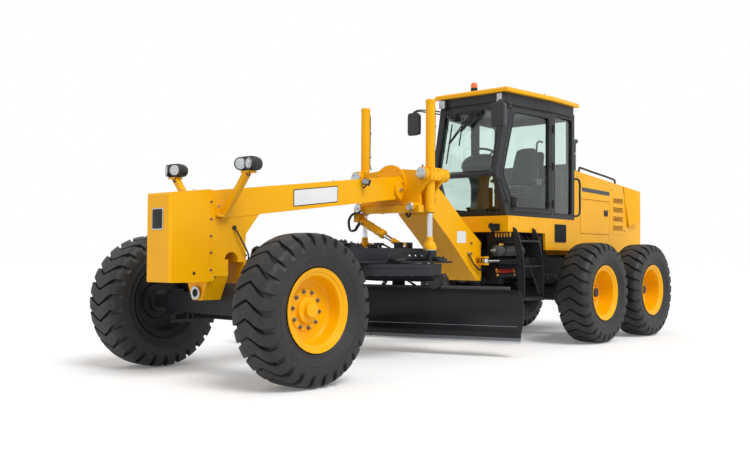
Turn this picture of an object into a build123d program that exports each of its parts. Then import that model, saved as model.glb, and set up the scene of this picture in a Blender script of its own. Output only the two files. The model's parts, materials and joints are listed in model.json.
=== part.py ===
from build123d import *
import math
import os

# Motor grader: articulated frame, six equal wheels, cab on the rear frame, blade under a
# circle and drawbar.  Millimetres, +X forward, +Y to the machine's left, +Z up.  The origin
# is on the ground, midway along the machine's length, in its plane of symmetry.

# ---- overall sizes ----
WHEELBASE = 6219.0          # front axle to the middle of the tandem
TANDEM_PITCH = 1538.0       # between the two rear wheels of one side
TRACK = 2167.0              # between the wheels' middle planes
FRONT_OVERHANG = 755.0      # nose face ahead of the front axle
REAR_OVERHANG = 1996.0      # tail behind the middle of the tandem
PIVOT_AHEAD = 2070.0        # articulation pin ahead of the middle of the tandem

LENGTH = FRONT_OVERHANG + WHEELBASE + REAR_OVERHANG
AXLE_X = LENGTH / 2 - FRONT_OVERHANG
TANDEM_X = AXLE_X - WHEELBASE
PIVOT_X = TANDEM_X + PIVOT_AHEAD
TAIL_X = -LENGTH / 2

# ---- wheels ----
TYRE_RADIUS = 670.0
TYRE_WIDTH = 444.0
SHOULDER_DROP = 26.0
RIM_SEAT = 318.0
RIM_FLANGE = 365.0
RIM_WIDTH = 369.0
RIM_WALL = 14.0
DISC_SET_IN = 150.0         # wheel disc behind the rim's outer edge
DISC_THICK = 26.0
HUB_RADIUS = 150.0
HUB_CAP_RADIUS = 92.0
HUB_CAP_OUT = 96.0
SPINDLE_RADIUS = 60.0
RUNNING_FIT = 0.05
WHEEL_Y = TRACK / 2

# ---- front axle and steering ----
KINGPIN_Y = 800.0
KINGPIN_RADIUS = 32.0
BEAM_HALF_X = 90.0
BEAM_DEEP_HALF = 95.0       # axle beam below and above the spindles
BEAM_LOW = TYRE_RADIUS - BEAM_DEEP_HALF
BEAM_TOP = TYRE_RADIUS + BEAM_DEEP_HALF
TONGUE_THICK = 50.0
TONGUE_RADIUS = 62.0
KNUCKLE_HALF = 72.0
KNUCKLE_LOW = TYRE_RADIUS - KNUCKLE_HALF
KNUCKLE_TOP = TYRE_RADIUS + KNUCKLE_HALF
AXLE_PIN_UP = 121.0         # pivot pin above the spindles
AXLE_PIN_Z = TYRE_RADIUS + AXLE_PIN_UP
AXLE_PIN_RADIUS = 45.0
STEER_ARM = 260.0           # tie rod pin behind the kingpin
STEER_ARM_HALF = 32.0
STEER_ARM_THICK = 36.0
TIE_EYE_RADIUS = 40.0
TIE_EYE_HIGH = 52.0
TIE_EYE_GAP = 4.0
TIE_PIN_RADIUS = 18.0
KNUCKLE_RADIUS = 58.0
TONGUE_GAP = 4.0
TIE_ROD_RADIUS = 24.0
TIE_ROD_DOWN = 150.0        # tie rod below the spindles
TIE_ROD_Z = TYRE_RADIUS - TIE_ROD_DOWN

# ---- front frame ----
NOSE_HALF = 176.0
NOSE_LENGTH = 440.0
NOSE_LOW = 893.0
NOSE_TOP_FRONT = 1690.0
NOSE_TOP_REAR = 1742.0
NOSE_ROUND = 26.0
BEAM_HALF_Y = 175.0
LEG_HALF_Y = 175.0
LEG_ARCH = (-58.0, 1090.0, 80.0)
BEAM_SLOPE = math.tan(math.radians(7.0))
BEAM_FRONT_LOW = 1466.0
BEAM_DEPTH = 265.0
LAMP_AHEAD = 179.0
LAMP_Y = 544.0
LAMP_FOOT_LOW = 1490.0
GOOSE_HALF_Y = 250.0
GOOSE_ROOT = 1299.0         # where it leaves the beam, ahead of the articulation pin
GOOSE_LAP = 50.0
# ahead of the articulation pin, height
GOOSE_SIDE = ((1109.0, 1990.0), (899.0, 1850.0), (549.0, 1585.0), (159.0, 1330.0),
              (159.0, 835.0), (249.0, 835.0), (833.0, 1343.0), (1209.0, 1640.0))
SADDLE_BACK = 2480.0        # saddle disc behind the front axle
SADDLE_RADIUS = 240.0
SADDLE_Z = 1965.0
DRUM_RADIUS = 205.0
LIFT_BACK = 2585.0          # lift cylinders behind the front axle
LIFT_Y = 495.0
LIFT_TOP = 2938.0
LIFT_TUBE = 54.0
LIFT_ROD = 30.0
LIFT_TUBE_LOW = 1640.0
TRUNNION_Z = 2080.0
TRUNNION_RADIUS = 74.0
TRUNNION_HALF = 277.0
TRUNNION_FRONT = 175.0
LIFT_BALL_Z = 1230.0
LINK_LOW = 1640.0
LINK_TOP = 1720.0
SHIFT_BACK = 2425.0         # centre-shift cylinder behind the front axle
SHIFT_TOP = (-450.0, 1585.0)
SHIFT_BALL = (225.0, 1250.0)
SHIFT_TUBE = 48.0
SHIFT_ROD = 26.0
SHIFT_TUBE_LENGTH = 575.0
SHIFT_ROD_START = 220.0     # inner end of the rod from the upper pin
LINK_HALF = 492.0
SHIFT_END = 42.0
EAR_FRONT = 21.0            # room before and behind the rod end, for the arc that the
EAR_BEHIND = 46.0           # drawbar moves through
LINK_PIN = 50.0
SOCKET_RADIUS = 76.0
SOCKET_ROOM = 62.0
STUD_RADIUS = 20.0

# ---- drawbar, circle and blade ----
BALL_BACK = 330.0           # drawbar ball behind the front axle
BALL_Z = 1000.0
BALL_RADIUS = 62.0
BALL_GAP = 0.3
NECK_RADIUS = 30.0
NECK_ROOM = 16.0            # for the neck to swing in its cup
SOCKET_WALL = 26.0
DRAWBAR_LOW = 1065.0
DRAWBAR_PLATE = 22.0
DRAWBAR_TOP = 1225.0
DRAWBAR_HALF = 590.0        # half width of the drawbar's bottom plate
DRAWBAR_RAIL_OUT = 400.0    # outer side of its box rails
DRAWBAR_RAIL = 110.0
DRAWBAR_TAIL = 2900.0
DRAWBAR_WIDE = 1950.0       # where the drawbar reaches its full width
DRAWBAR_HOLE = 190.0
DRAWBAR_TONGUE = 150.0      # solid stretch where the two rails meet
POST_RADIUS = 40.0
CIRCLE_BACK = 2200.0
CIRCLE_RADIUS = 760.0
CIRCLE_BAND = 140.0         # width of the ring
CIRCLE_LOW = 930.0
CIRCLE_GAP = 8.0
BLADE_YAW = 18.5
BLADE_LENGTH = 3660.0
BLADE_HEIGHT = 595.0
BLADE_LOW = 170.0
BLADE_AHEAD = -493.0        # cutting edge ahead of the circle's centre
BLADE_SHIFT = -247.0        # blade's middle from the circle's centre, along the blade
BLADE_SAG = 118.0
BLADE_THICK = 24.0
EDGE_HEIGHT = 150.0
EDGE_THICK = 18.0
RAIL_HIGH = 52.0
ARM_Y = 560.0
ARM_THICK = 70.0
TIP_BACK = 215.0
TIP_Z = 395.0
TIP_PIN = 32.0
RAIL_BACK = 147.0           # back of the blade's rails behind its edge
RAIL_LOWER = 322.0
RAIL_UPPER = 678.0
CARRIER_GAP = 8.0
CARRIER_THICK = 22.0
SIDE_TUBE = 36.0
SIDE_ROD = 20.0
SIDE_Z = 282.0
SIDE_BACK = 222.0
SIDE_START = -900.0
SIDE_MOUTH = 600.0
SIDE_ROD_START = -420.0
SIDE_LUG = 1090.0

# ---- rear frame ----
RAIL_Y = 280.0
HITCH_BORE = 25.0           # radius of the tow pin's bore
HITCH_BORE_IN = 60.0
HITCH_PLATE = 30.0
HITCH_GAP = 80.0
HITCH_HALF = 70.0
HITCH_DEEP = 125.0
RAIL_WALL = 50.0
RAIL_LOW = 860.0
RAIL_TOP = 1140.0
PIVOT_PIN = 55.0
PIVOT_TOP = 1330.0
PIVOT_LOW = 880.0
LUG_THICK = 70.0
LUG_GAP = 6.0
LUG_RADIUS = 130.0
LUG_REACH = 169.0
CASE_Y0 = 600.0
CASE_Y1 = 760.0
CASE_HALF = 215.0
AXLE_TUBE = 170.0

ARTIC_Z = 1090.0
ARTIC_REAR = (-560.0, 480.0)    # rear pin from the articulation pin
ARTIC_FRONT = (230.0, 365.0)    # front pin from the articulation pin
ARTIC_TUBE = 40.0
ARTIC_ROD = 22.0
ARTIC_TUBE_LENGTH = 525.0
ARTIC_PIN = 16.0
EYE_RADIUS = 42.0
EYE_THICK = 44.0
EAR_THICK = 24.0
EAR_GAP = 8.0

# ---- cab ----
CAB_AHEAD = 2060.0          # foot of the windscreen ahead of the middle of the tandem
CAB_LENGTH = 1600.0
CAB_FLOOR = 1662.0
CAB_BELT = 2200.0
CAB_TOP = 3150.0
BELT_AHEAD = 215.0
CAB_TOP_BACK = 10.0
CAB_FRONT_HALF = 500.0
CAB_REAR_HALF = 640.0
CAB_WALL = 56.0
POST_BACK = 955.0           # door post behind the windscreen's foot
PANE_IN = 24.0
PANE = 8.0
DOOR_GAP = 6.0
FRAME_WIDTH = 62.0
ROOF_OVER = 70.0
ROOF_UP = 108.0             # liner between the cab's frame and the roof
ROOF_THICK = 62.0

# ---- platform and hood ----
DECK_HALF = 650.0
DECK_LOW = 1458.0
DECK_AHEAD = 155.0          # front edge ahead of the windscreen's foot
DECK_THICK = 36.0
STEP_LOW = 1235.0
STEP_BACK = 760.0
TANK_Y = 480.0
TANK_Z = 1222.0
TANK_RADIUS = 66.0
HOOD_HALF = 545.0
HOOD_WALL = 40.0
HOOD_FRONT_TOP = 2390.0
HOOD_REAR_TOP = 2215.0
HOOD_LOW = 1175.0
HOOD_GAP = 30.0
HOOD_DOOR = (100.0, -850.0, 1488.0, 1988.0)     # front and rear ahead of the tandem, low, high
HOOD_FLARE = ((-1324.0, 2248.0), (-1476.0, 1627.0), (-1750.0, 1725.0), (-1700.0, 2169.0))
HOOD_FLARE_OUT = 95.0
LADDER_AHEAD = 1860.0       # ladder's middle ahead of the middle of the tandem
LADDER_HALF = 235.0
LADDER_FOOT = 610.0
LADDER_OUT = 818.0          # foot's place from the middle plane
LADDER_DEEP = 95.0


def fx(back):
    """X of a place that far behind the front axle."""
    return AXLE_X - back


def rx(ahead):
    """X of a place that far ahead of the middle of the tandem."""
    return TANDEM_X + ahead


def prism_xz(points, y0, y1):
    plane = Plane((0, y1, 0), x_dir=(1, 0, 0), z_dir=(0, -1, 0))
    return extrude(plane * make_face(Polyline(*points, close=True)), y1 - y0)


def prism_xy(points, z0, z1):
    plane = Plane((0, 0, z0))
    return extrude(plane * make_face(Polyline(*points, close=True)), z1 - z0)


def prism_yz(points, x0, x1):
    plane = Plane((x0, 0, 0), x_dir=(0, 1, 0), z_dir=(1, 0, 0))
    return extrude(plane * make_face(Polyline(*points, close=True)), x1 - x0)


def block(x0, x1, y0, y1, z0, z1):
    return Pos((x0 + x1) / 2, (y0 + y1) / 2, (z0 + z1) / 2) * Box(x1 - x0, y1 - y0, z1 - z0)


def bar(start, end, radius):
    start = Vector(*start)
    along = Vector(*end) - start
    low = (Align.CENTER, Align.CENTER, Align.MIN)
    return Plane(start, z_dir=along) * Cylinder(radius, along.length, align=low)


def pipe(start, end, outer, inner):
    return bar(start, end, outer) - bar(start, end, inner)


def both(solid):
    """The solid and its copy on the machine's other side."""
    return [solid, mirror(solid, about=Plane.XZ)]


def turned(profile, centre, side):
    """A profile of (radius, outward) points turned about a wheel's axle."""
    face = Plane.XZ * make_face(Polyline(*profile, close=True))
    return Pos(*centre) * Rot(-90 * side, 0, 0) * revolve(face, Axis.Z)


def write(name, shapes):
    """Export one node from a solid or a list of solids."""
    solids = [s for shape in (shapes if isinstance(shapes, list) else [shapes]) for s in shape.solids()]
    node = solids[0] if len(solids) == 1 else Compound(children=solids)
    node.label = name
    export_step(node, "parts/" + name + ".step")


# ---- wheels ----

WHEELS = [
    # name, x, side
    ("front_left", AXLE_X, 1),
    ("front_right", AXLE_X, -1),
    ("middle_left", TANDEM_X + TANDEM_PITCH / 2, 1),
    ("middle_right", TANDEM_X + TANDEM_PITCH / 2, -1),
    ("rear_left", TANDEM_X - TANDEM_PITCH / 2, 1),
    ("rear_right", TANDEM_X - TANDEM_PITCH / 2, -1),
]


def tyre(centre, side):
    half = TYRE_WIDTH / 2
    bead = RIM_WIDTH / 2 - RIM_WALL
    profile = [
        (RIM_SEAT, -bead), (RIM_FLANGE + 5, -bead), (RIM_FLANGE + 60, -half + 14),
        (RIM_FLANGE + 150, -half), (TYRE_RADIUS - 3 * SHOULDER_DROP, -half + 4),
        (TYRE_RADIUS - SHOULDER_DROP, -half + 26), (TYRE_RADIUS, -half + 90),
        (TYRE_RADIUS, half - 90), (TYRE_RADIUS - SHOULDER_DROP, half - 26),
        (TYRE_RADIUS - 3 * SHOULDER_DROP, half - 4), (RIM_FLANGE + 150, half),
        (RIM_FLANGE + 60, half - 14), (RIM_FLANGE + 5, bead), (RIM_SEAT, bead),
    ]
    return turned(profile, centre, side)


def rim(centre, side):
    half = RIM_WIDTH / 2
    bead = half - RIM_WALL
    face = half - DISC_SET_IN
    bore = SPINDLE_RADIUS + RUNNING_FIT
    inside = RIM_SEAT - RIM_WALL
    profile = [
        (bore, face - DISC_THICK - 60), (HUB_RADIUS, face - DISC_THICK - 60),
        (HUB_RADIUS, face - DISC_THICK), (inside, face - DISC_THICK), (inside, -half),
        (RIM_FLANGE, -half), (RIM_FLANGE, -bead), (RIM_SEAT, -bead), (RIM_SEAT, bead),
        (RIM_FLANGE, bead), (RIM_FLANGE, half), (RIM_FLANGE - RIM_WALL, half),
        (inside, half - 45), (inside, face), (HUB_RADIUS, face), (HUB_RADIUS - 12, face + 40),
        (HUB_CAP_RADIUS, face + 40), (HUB_CAP_RADIUS - 8, face + HUB_CAP_OUT),
        (0, face + HUB_CAP_OUT), (0, face + 20), (bore, face + 20),
    ]
    return turned(profile, centre, side)


def spindle_end(side):
    """Y of a spindle's blind end inside the hub."""
    return side * (WHEEL_Y + RIM_WIDTH / 2 - DISC_SET_IN + 14)


# ---- front axle ----

def front_axle():
    end = KINGPIN_Y - TONGUE_RADIUS - 4
    beam = prism_yz([(-end, BEAM_LOW + 15), (-400, BEAM_LOW), (400, BEAM_LOW), (end, BEAM_LOW + 15),
                     (end, BEAM_TOP), (330, BEAM_TOP), (150, AXLE_PIN_Z + 80), (-150, AXLE_PIN_Z + 80),
                     (-330, BEAM_TOP), (-end, BEAM_TOP)],
                    AXLE_X - BEAM_HALF_X, AXLE_X + BEAM_HALF_X)
    for side in (1, -1):
        y = side * KINGPIN_Y
        root = side * (end - 30)
        for low in (KNUCKLE_LOW - TONGUE_GAP - TONGUE_THICK, KNUCKLE_TOP + TONGUE_GAP):
            tongue = block(AXLE_X - TONGUE_RADIUS, AXLE_X + TONGUE_RADIUS, min(y, root), max(y, root),
                           low, low + TONGUE_THICK)
            beam += tongue + Pos(AXLE_X, y, low + TONGUE_THICK / 2) * Cylinder(TONGUE_RADIUS, TONGUE_THICK)
        beam -= Pos(AXLE_X, y, TYRE_RADIUS) * Cylinder(KINGPIN_RADIUS + RUNNING_FIT, 500)
    return beam - bar((AXLE_X - 400, 0, AXLE_PIN_Z), (AXLE_X + 400, 0, AXLE_PIN_Z), AXLE_PIN_RADIUS)


def knuckle(side):
    """A kingpin with its boss, spindle and the steering arm that runs back under the axle."""
    y = side * KINGPIN_Y
    high = KNUCKLE_TOP - KNUCKLE_LOW
    arm_low = steer_arm_low()
    pin_top = KNUCKLE_TOP + TONGUE_GAP + TONGUE_THICK
    body = Pos(AXLE_X, y, (KNUCKLE_LOW + KNUCKLE_TOP) / 2) * Cylinder(KNUCKLE_RADIUS, high)
    body += bar((AXLE_X, y, arm_low), (AXLE_X, y, pin_top), KINGPIN_RADIUS)
    body += bar((AXLE_X, y, TYRE_RADIUS), (AXLE_X, y + side * 110, TYRE_RADIUS), high / 2)
    body += bar((AXLE_X, y, TYRE_RADIUS), (AXLE_X, spindle_end(side), TYRE_RADIUS), SPINDLE_RADIUS)
    front = AXLE_X + KINGPIN_RADIUS + 14
    rear = AXLE_X - STEER_ARM - STEER_ARM_HALF
    body += block(rear, front, y - STEER_ARM_HALF, y + STEER_ARM_HALF, arm_low, arm_low + STEER_ARM_THICK)
    pin = tie_pin(side)
    top = TIE_ROD_Z + TIE_EYE_HIGH / 2 + TIE_EYE_GAP
    return body + bar((pin[0], pin[1], arm_low + 10), (pin[0], pin[1], top), TIE_PIN_RADIUS)


def steer_arm_low():
    return TIE_ROD_Z - TIE_EYE_HIGH / 2 - TIE_EYE_GAP - STEER_ARM_THICK


def tie_pin(side):
    """Place of a tie rod pin: straight behind its kingpin, so that the steering is a parallelogram."""
    return (AXLE_X - STEER_ARM, side * KINGPIN_Y)


def tie_rod():
    left = tie_pin(1)
    right = tie_pin(-1)
    rod = bar((left[0], left[1], TIE_ROD_Z), (right[0], right[1], TIE_ROD_Z), TIE_ROD_RADIUS)
    for pin in (left, right):
        rod += Pos(pin[0], pin[1], TIE_ROD_Z) * Cylinder(TIE_EYE_RADIUS, TIE_EYE_HIGH)
    for pin in (left, right):
        rod -= Pos(pin[0], pin[1], TIE_ROD_Z) * Cylinder(TIE_PIN_RADIUS + RUNNING_FIT, 200)
    return rod


# ---- front frame ----

def beam_low(back):
    return BEAM_FRONT_LOW + (back + 300) * BEAM_SLOPE


def front_frame():
    nose = FRONT_OVERHANG - NOSE_LENGTH
    front = -nose
    end = AXLE_X - PIVOT_X - GOOSE_ROOT + GOOSE_LAP
    root = AXLE_X - PIVOT_X - GOOSE_ROOT
    beam = prism_xz([(fx(front), beam_low(front)), (fx(end), beam_low(end)),
                     (fx(end), beam_low(end) + BEAM_DEPTH), (fx(front), beam_low(front) + BEAM_DEPTH)],
                    -BEAM_HALF_Y, BEAM_HALF_Y)
    goose = [(fx(root), beam_low(root)), (fx(root), beam_low(root) + BEAM_DEPTH)]
    goose += [(PIVOT_X + ahead, z) for ahead, z in GOOSE_SIDE]
    frame = beam + prism_xz(goose, -GOOSE_HALF_Y, GOOSE_HALF_Y)
    leg = [(fx(front), NOSE_TOP_REAR - 6), (fx(front), 895), (fx(front + 45), 895), (fx(-215), 1041),
           (fx(-190), 1075), (fx(110), 1075), (fx(123), 1133), (fx(109), 1266), (fx(121), 1345),
           (fx(300), beam_low(300) + 20), (fx(front + 24), beam_low(front) + 20),
           (fx(front + 24), NOSE_TOP_REAR - 6)]
    arch = (fx(LEG_ARCH[0]), LEG_ARCH[1])
    leg = prism_xz(leg, -LEG_HALF_Y, LEG_HALF_Y)
    leg -= bar((arch[0], -300, arch[1]), (arch[0], 300, arch[1]), LEG_ARCH[2])
    frame += leg
    frame += lugs(front)
    frame += pivot_lugs_front()
    frame += artic_ears()
    ball = (fx(BALL_BACK), 0, BALL_Z)
    cup = Pos(*ball) * (Sphere(BALL_RADIUS + SOCKET_WALL) - Sphere(BALL_RADIUS + BALL_GAP))
    cup -= block(fx(BALL_BACK + 200), fx(BALL_BACK + 14), -200, 200, BALL_Z - 200, BALL_Z + 200)
    cup -= bar(ball, neck_start(), NECK_RADIUS + NECK_ROOM)
    stub = bar((fx(140), 0, BALL_Z + 60), ball, 46) - Pos(*ball) * Sphere(BALL_RADIUS + SOCKET_WALL - 2)
    return frame + stub + cup


def lugs(front):
    """Plates that carry the front axle's pivot pin."""
    tip = AXLE_PIN_Z - 68
    plate = [(-LEG_HALF_Y, 1100), (-LEG_HALF_Y, 950), (-70, tip), (70, tip), (LEG_HALF_Y, 950)]
    plate.append((LEG_HALF_Y, 1100))
    low = AXLE_X + BEAM_HALF_X + LUG_GAP
    solid = prism_yz(plate, low, fx(front))
    solid += prism_yz(plate, AXLE_X - BEAM_HALF_X - LUG_GAP - 60, AXLE_X - BEAM_HALF_X - LUG_GAP)
    return solid + axle_pin()


def pivot_lugs_front():
    solid = None
    for z0 in (PIVOT_LOW, PIVOT_TOP - LUG_THICK):
        tongue = block(PIVOT_X, PIVOT_X + LUG_REACH, -LUG_RADIUS, LUG_RADIUS, z0, z0 + LUG_THICK)
        tongue += Pos(PIVOT_X, 0, z0 + LUG_THICK / 2) * Cylinder(LUG_RADIUS, LUG_THICK)
        tongue -= Pos(PIVOT_X, 0, z0) * Cylinder(PIVOT_PIN + RUNNING_FIT, 400)
        solid = tongue if solid is None else solid + tongue
    return solid


def artic_ears():
    """Ears on the gooseneck's sides for the articulation cylinders' rods."""
    solid = None
    x = PIVOT_X + ARTIC_FRONT[0]
    for side in (1, -1):
        y = side * ARTIC_FRONT[1]
        root = side * (GOOSE_HALF_Y - 5)
        for z0 in (ARTIC_Z + EYE_THICK / 2 + EAR_GAP, ARTIC_Z - EYE_THICK / 2 - EAR_GAP - EAR_THICK):
            ear = block(x - 46, x + 46, min(y, root), max(y, root), z0, z0 + EAR_THICK)
            ear += Pos(x, y, z0 + EAR_THICK / 2) * Cylinder(46, EAR_THICK)
            solid = ear if solid is None else solid + ear
    return solid


def axle_pin():
    ends = (AXLE_X - BEAM_HALF_X - 76, AXLE_X + FRONT_OVERHANG - NOSE_LENGTH + 14)
    return bar((ends[0], 0, AXLE_PIN_Z), (ends[1], 0, AXLE_PIN_Z), AXLE_PIN_RADIUS)


def nose():
    rear = AXLE_X + FRONT_OVERHANG - NOSE_LENGTH
    front = AXLE_X + FRONT_OVERHANG
    solid = prism_xz([(rear, NOSE_LOW), (front, NOSE_LOW), (front, NOSE_TOP_FRONT), (rear, NOSE_TOP_REAR)],
                     -NOSE_HALF, NOSE_HALF)
    face = solid.faces().sort_by(Axis.X)[-1]
    return fillet(face.edges(), NOSE_ROUND)


def saddle():
    x = fx(SADDLE_BACK)
    z = SADDLE_Z
    ring = bar((x, 0, z), (x + 30, 0, z), SADDLE_RADIUS)
    ring += bar((x - 290, 0, z), (x, 0, z), DRUM_RADIUS)
    yoke = fx(LIFT_BACK)
    for side in (1, -1):
        arm = [(side * 120, z - 200), (side * 360, 1650), (side * 440, 1690), (side * 420, 1860),
               (side * (LIFT_Y + 60), TRUNNION_Z - 60), (side * (LIFT_Y + 60), TRUNNION_Z + 40),
               (side * (LIFT_Y - 40), TRUNNION_Z + 40), (side * 120, z + 190)]
        ring += prism_yz(arm, x - 35, x)
        ring += prism_yz(arm, x - 290, x - 255)
        y = side * LIFT_Y
        ring += block(yoke - 90, yoke + 90, y - 84, y + 84, TRUNNION_Z - 70, TRUNNION_Z + 70)
        ends = [(yoke + along, y, TRUNNION_Z) for along in (-TRUNNION_HALF, TRUNNION_FRONT)]
        ring += bar(ends[0], ends[1], TRUNNION_RADIUS)
    core = [(x - 600, beam_low(SADDLE_BACK + 600)), (x + 200, beam_low(SADDLE_BACK - 200)),
            (x + 200, beam_low(SADDLE_BACK - 200) + BEAM_DEPTH),
            (x - 600, beam_low(SADDLE_BACK + 600) + BEAM_DEPTH)]
    ring -= prism_xz(core, -BEAM_HALF_Y, BEAM_HALF_Y)
    for side in (1, -1):
        ring -= bar((yoke, side * LIFT_Y, LIFT_TUBE_LOW), (yoke, side * LIFT_Y, LIFT_TOP), LIFT_TUBE)
    return ring


def link_bar():
    """Cross bar under the saddle, with the centre-shift cylinder's hanger and pin."""
    x = fx(SHIFT_BACK)
    y, z = SHIFT_TOP
    solid = block(x - 45, x + 45, -LINK_HALF, LINK_HALF, LINK_LOW, LINK_TOP)
    for dx in (-1, 1):
        near = x + dx * (EYE_THICK / 2 + 6)
        ends = sorted((near, near + dx * 20))
        solid += block(ends[0], ends[1], y - 40, y + 40, z - 40, LINK_LOW + 5)
    solid += bar((x - 50, y, z), (x + 50, y, z), 18)
    for side in (1, -1):
        pin = (side * 395, 1705)
        solid += bar((fx(SADDLE_BACK), pin[0], pin[1]), (x + 85, pin[0], pin[1]), LINK_PIN)
    return solid


def lift_tubes():
    tubes = []
    for side in (1, -1):
        x = fx(LIFT_BACK)
        y = side * LIFT_Y
        tube = bar((x, y, LIFT_TUBE_LOW), (x, y, LIFT_TOP), LIFT_TUBE)
        tube -= bar((x, y, LIFT_TUBE_LOW - 1), (x, y, LIFT_TUBE_LOW + 70), LIFT_ROD + RUNNING_FIT)
        tube -= bar((x, y, LIFT_TUBE_LOW + 70), (x, y, LIFT_TOP - 30), LIFT_TUBE - 12)
        tubes.append(tube)
    return tubes


def lift_rods():
    rods = []
    for side in (1, -1):
        x = fx(LIFT_BACK)
        y = side * LIFT_Y
        rod = bar((x, y, LIFT_BALL_Z + SOCKET_ROOM - 4), (x, y, LIFT_TUBE_LOW + 900), LIFT_ROD)
        cup = Pos(x, y, LIFT_BALL_Z) * (Sphere(SOCKET_RADIUS) - Sphere(SOCKET_ROOM))
        cup -= block(x - 100, x + 100, y - 100, y + 100, LIFT_BALL_Z - 100, LIFT_BALL_Z - 18)
        rods.append(rod + cup)
    return rods


def square_post(foot, head, half):
    along = Vector(*head) - Vector(*foot)
    middle = (Vector(*foot) + Vector(*head)) / 2
    place = Plane(middle, x_dir=(1, 0, 0), z_dir=along.normalized())
    return place * Box(2 * half, 2 * half, along.length)


def headlamps():
    lamps = []
    x = fx(-LAMP_AHEAD)
    for side in (1, -1):
        y = side * LAMP_Y
        root = side * BEAM_HALF_Y
        post = square_post((x, root + side * 32, 1540), (x, y - side * 16, 1885), 30)
        y0, y1 = sorted((root, root + side * 62))
        post += block(x - 70, x + 70, y0, y1, LAMP_FOOT_LOW, LAMP_FOOT_LOW + 22)
        post += block(x - 70, x + 70, min(root, root + side * 14), max(root, root + side * 14),
                      LAMP_FOOT_LOW, LAMP_FOOT_LOW + 120)
        post += block(x - 34, x + 34, y - 60, y + 60, 1878, 1900)
        post -= block(x - 200, x + 200, min(0, root), max(0, root), 1300, 1800)
        shell = block(x - 60, x + 50, y - 120, y + 120, 1895, 2030)
        shell = fillet(shell.edges().filter_by(Axis.X), 60)
        lamps.append(post + shell)
    return lamps


# ---- drawbar and circle ----

def drawbar():
    rear = fx(DRAWBAR_TAIL)
    wide = fx(DRAWBAR_WIDE)
    tip = fx(BALL_BACK + 120)
    plate = [(tip, -70), (wide, -DRAWBAR_HALF), (rear, -DRAWBAR_HALF), (rear, DRAWBAR_HALF),
             (wide, DRAWBAR_HALF), (tip, 70)]
    solid = prism_xy(plate, DRAWBAR_LOW, DRAWBAR_LOW + DRAWBAR_PLATE)
    solid -= Pos(fx(CIRCLE_BACK), 0, DRAWBAR_LOW) * Cylinder(DRAWBAR_HOLE, 200)
    out = DRAWBAR_RAIL_OUT
    for side in (1, -1):
        rail = [(tip, side * 90), (wide, side * out), (rear + 60, side * out),
                (rear + 60, side * (out - DRAWBAR_RAIL)), (wide - 40, side * (out - DRAWBAR_RAIL)), (tip, 0)]
        solid += prism_xy(rail, DRAWBAR_LOW, DRAWBAR_TOP)
    solid += block(rear + 60, rear + 170, -out, out, DRAWBAR_LOW, DRAWBAR_TOP)
    solid += block(tip - DRAWBAR_TONGUE, tip, -90, 90, DRAWBAR_LOW, DRAWBAR_TOP)
    ball = (fx(BALL_BACK), 0, BALL_Z)
    solid += bar(neck_start(), ball, NECK_RADIUS)
    solid += Pos(*ball) * Sphere(BALL_RADIUS)
    for side in (1, -1):
        solid += stud(fx(LIFT_BACK), side * LIFT_Y, LIFT_BALL_Z, DRAWBAR_LOW + DRAWBAR_PLATE)
    return solid + shift_ears()


def neck_start():
    """Where the drawbar's neck leaves its tongue, on the way to the ball."""
    return (fx(BALL_BACK + 160), 0, (DRAWBAR_LOW + DRAWBAR_TOP) / 2)


def stud(x, y, z, foot):
    """A ball on a post that stands on the drawbar's plate."""
    post = bar((x, y, foot - 5), (x, y, z - 70), POST_RADIUS)
    post += bar((x, y, z - 72), (x, y, z), STUD_RADIUS - 5)
    return post + Pos(x, y, z) * Sphere(STUD_RADIUS)


def shift_ears():
    """Two ears that hold the centre-shift rod's end between them."""
    x = fx(SHIFT_BACK)
    y, z = SHIFT_BALL
    solid = None
    low = DRAWBAR_LOW + DRAWBAR_PLATE - 5
    for near in (SHIFT_END + EAR_FRONT, -SHIFT_END - EAR_BEHIND - 20):
        ear = block(x + near, x + near + 20, y - 62, y + 62, low, z + 50)
        solid = ear if solid is None else solid + ear
    return solid


def circle():
    """The ring with the arms that hang the blade from it."""
    x = fx(CIRCLE_BACK)
    top = DRAWBAR_LOW - CIRCLE_GAP
    high = top - CIRCLE_LOW
    ring = Cylinder(CIRCLE_RADIUS, high) - Cylinder(CIRCLE_RADIUS - CIRCLE_BAND, high)
    ring = Pos(x, 0, (CIRCLE_LOW + top) / 2) * ring
    return ring + blade_arms()


def circle_drive():
    x = fx(CIRCLE_BACK - CIRCLE_RADIUS + 150)
    half = DRAWBAR_RAIL_OUT - 130
    solid = block(x - 110, x + 110, -half, half, DRAWBAR_TOP, DRAWBAR_TOP + 24)
    return solid + Pos(x, 0, DRAWBAR_TOP + 24 + 25) * Cylinder(95, 70)


def at_circle(solid):
    """A solid modelled about the circle's centre with the blade square, put in place."""
    return Pos(fx(CIRCLE_BACK), 0, 0) * Rot(0, 0, BLADE_YAW) * solid


def blade_arms():
    arms = None
    foot = BLADE_AHEAD - TIP_BACK
    for side in (1, -1):
        y = side * ARM_Y
        shape = prism_xz([(foot + 40, CIRCLE_LOW + 5), (foot + 300, CIRCLE_LOW + 5),
                          (foot - 40, CIRCLE_LOW - 160), (foot - 90, 560), (foot + 20, TIP_Z + 60), (foot + 20, TIP_Z - 50),
                          (foot - 60, TIP_Z - 50), (foot - 200, 620), (foot - 220, CIRCLE_LOW - 60),
                          (foot - 90, CIRCLE_LOW + 5)],
                         y - ARM_THICK / 2, y + ARM_THICK / 2)
        shape -= bar((foot, y - 100, TIP_Z), (foot, y + 100, TIP_Z), TIP_PIN + RUNNING_FIT)
        arms = shape if arms is None else arms + shape
    band = CIRCLE_BAND / 2 - CIRCLE_RADIUS
    arms += block(min(foot - 60, band), max(foot + 60, band), -ARM_Y, ARM_Y, CIRCLE_LOW - 80, CIRCLE_LOW + 5)
    return at_circle(arms)


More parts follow.
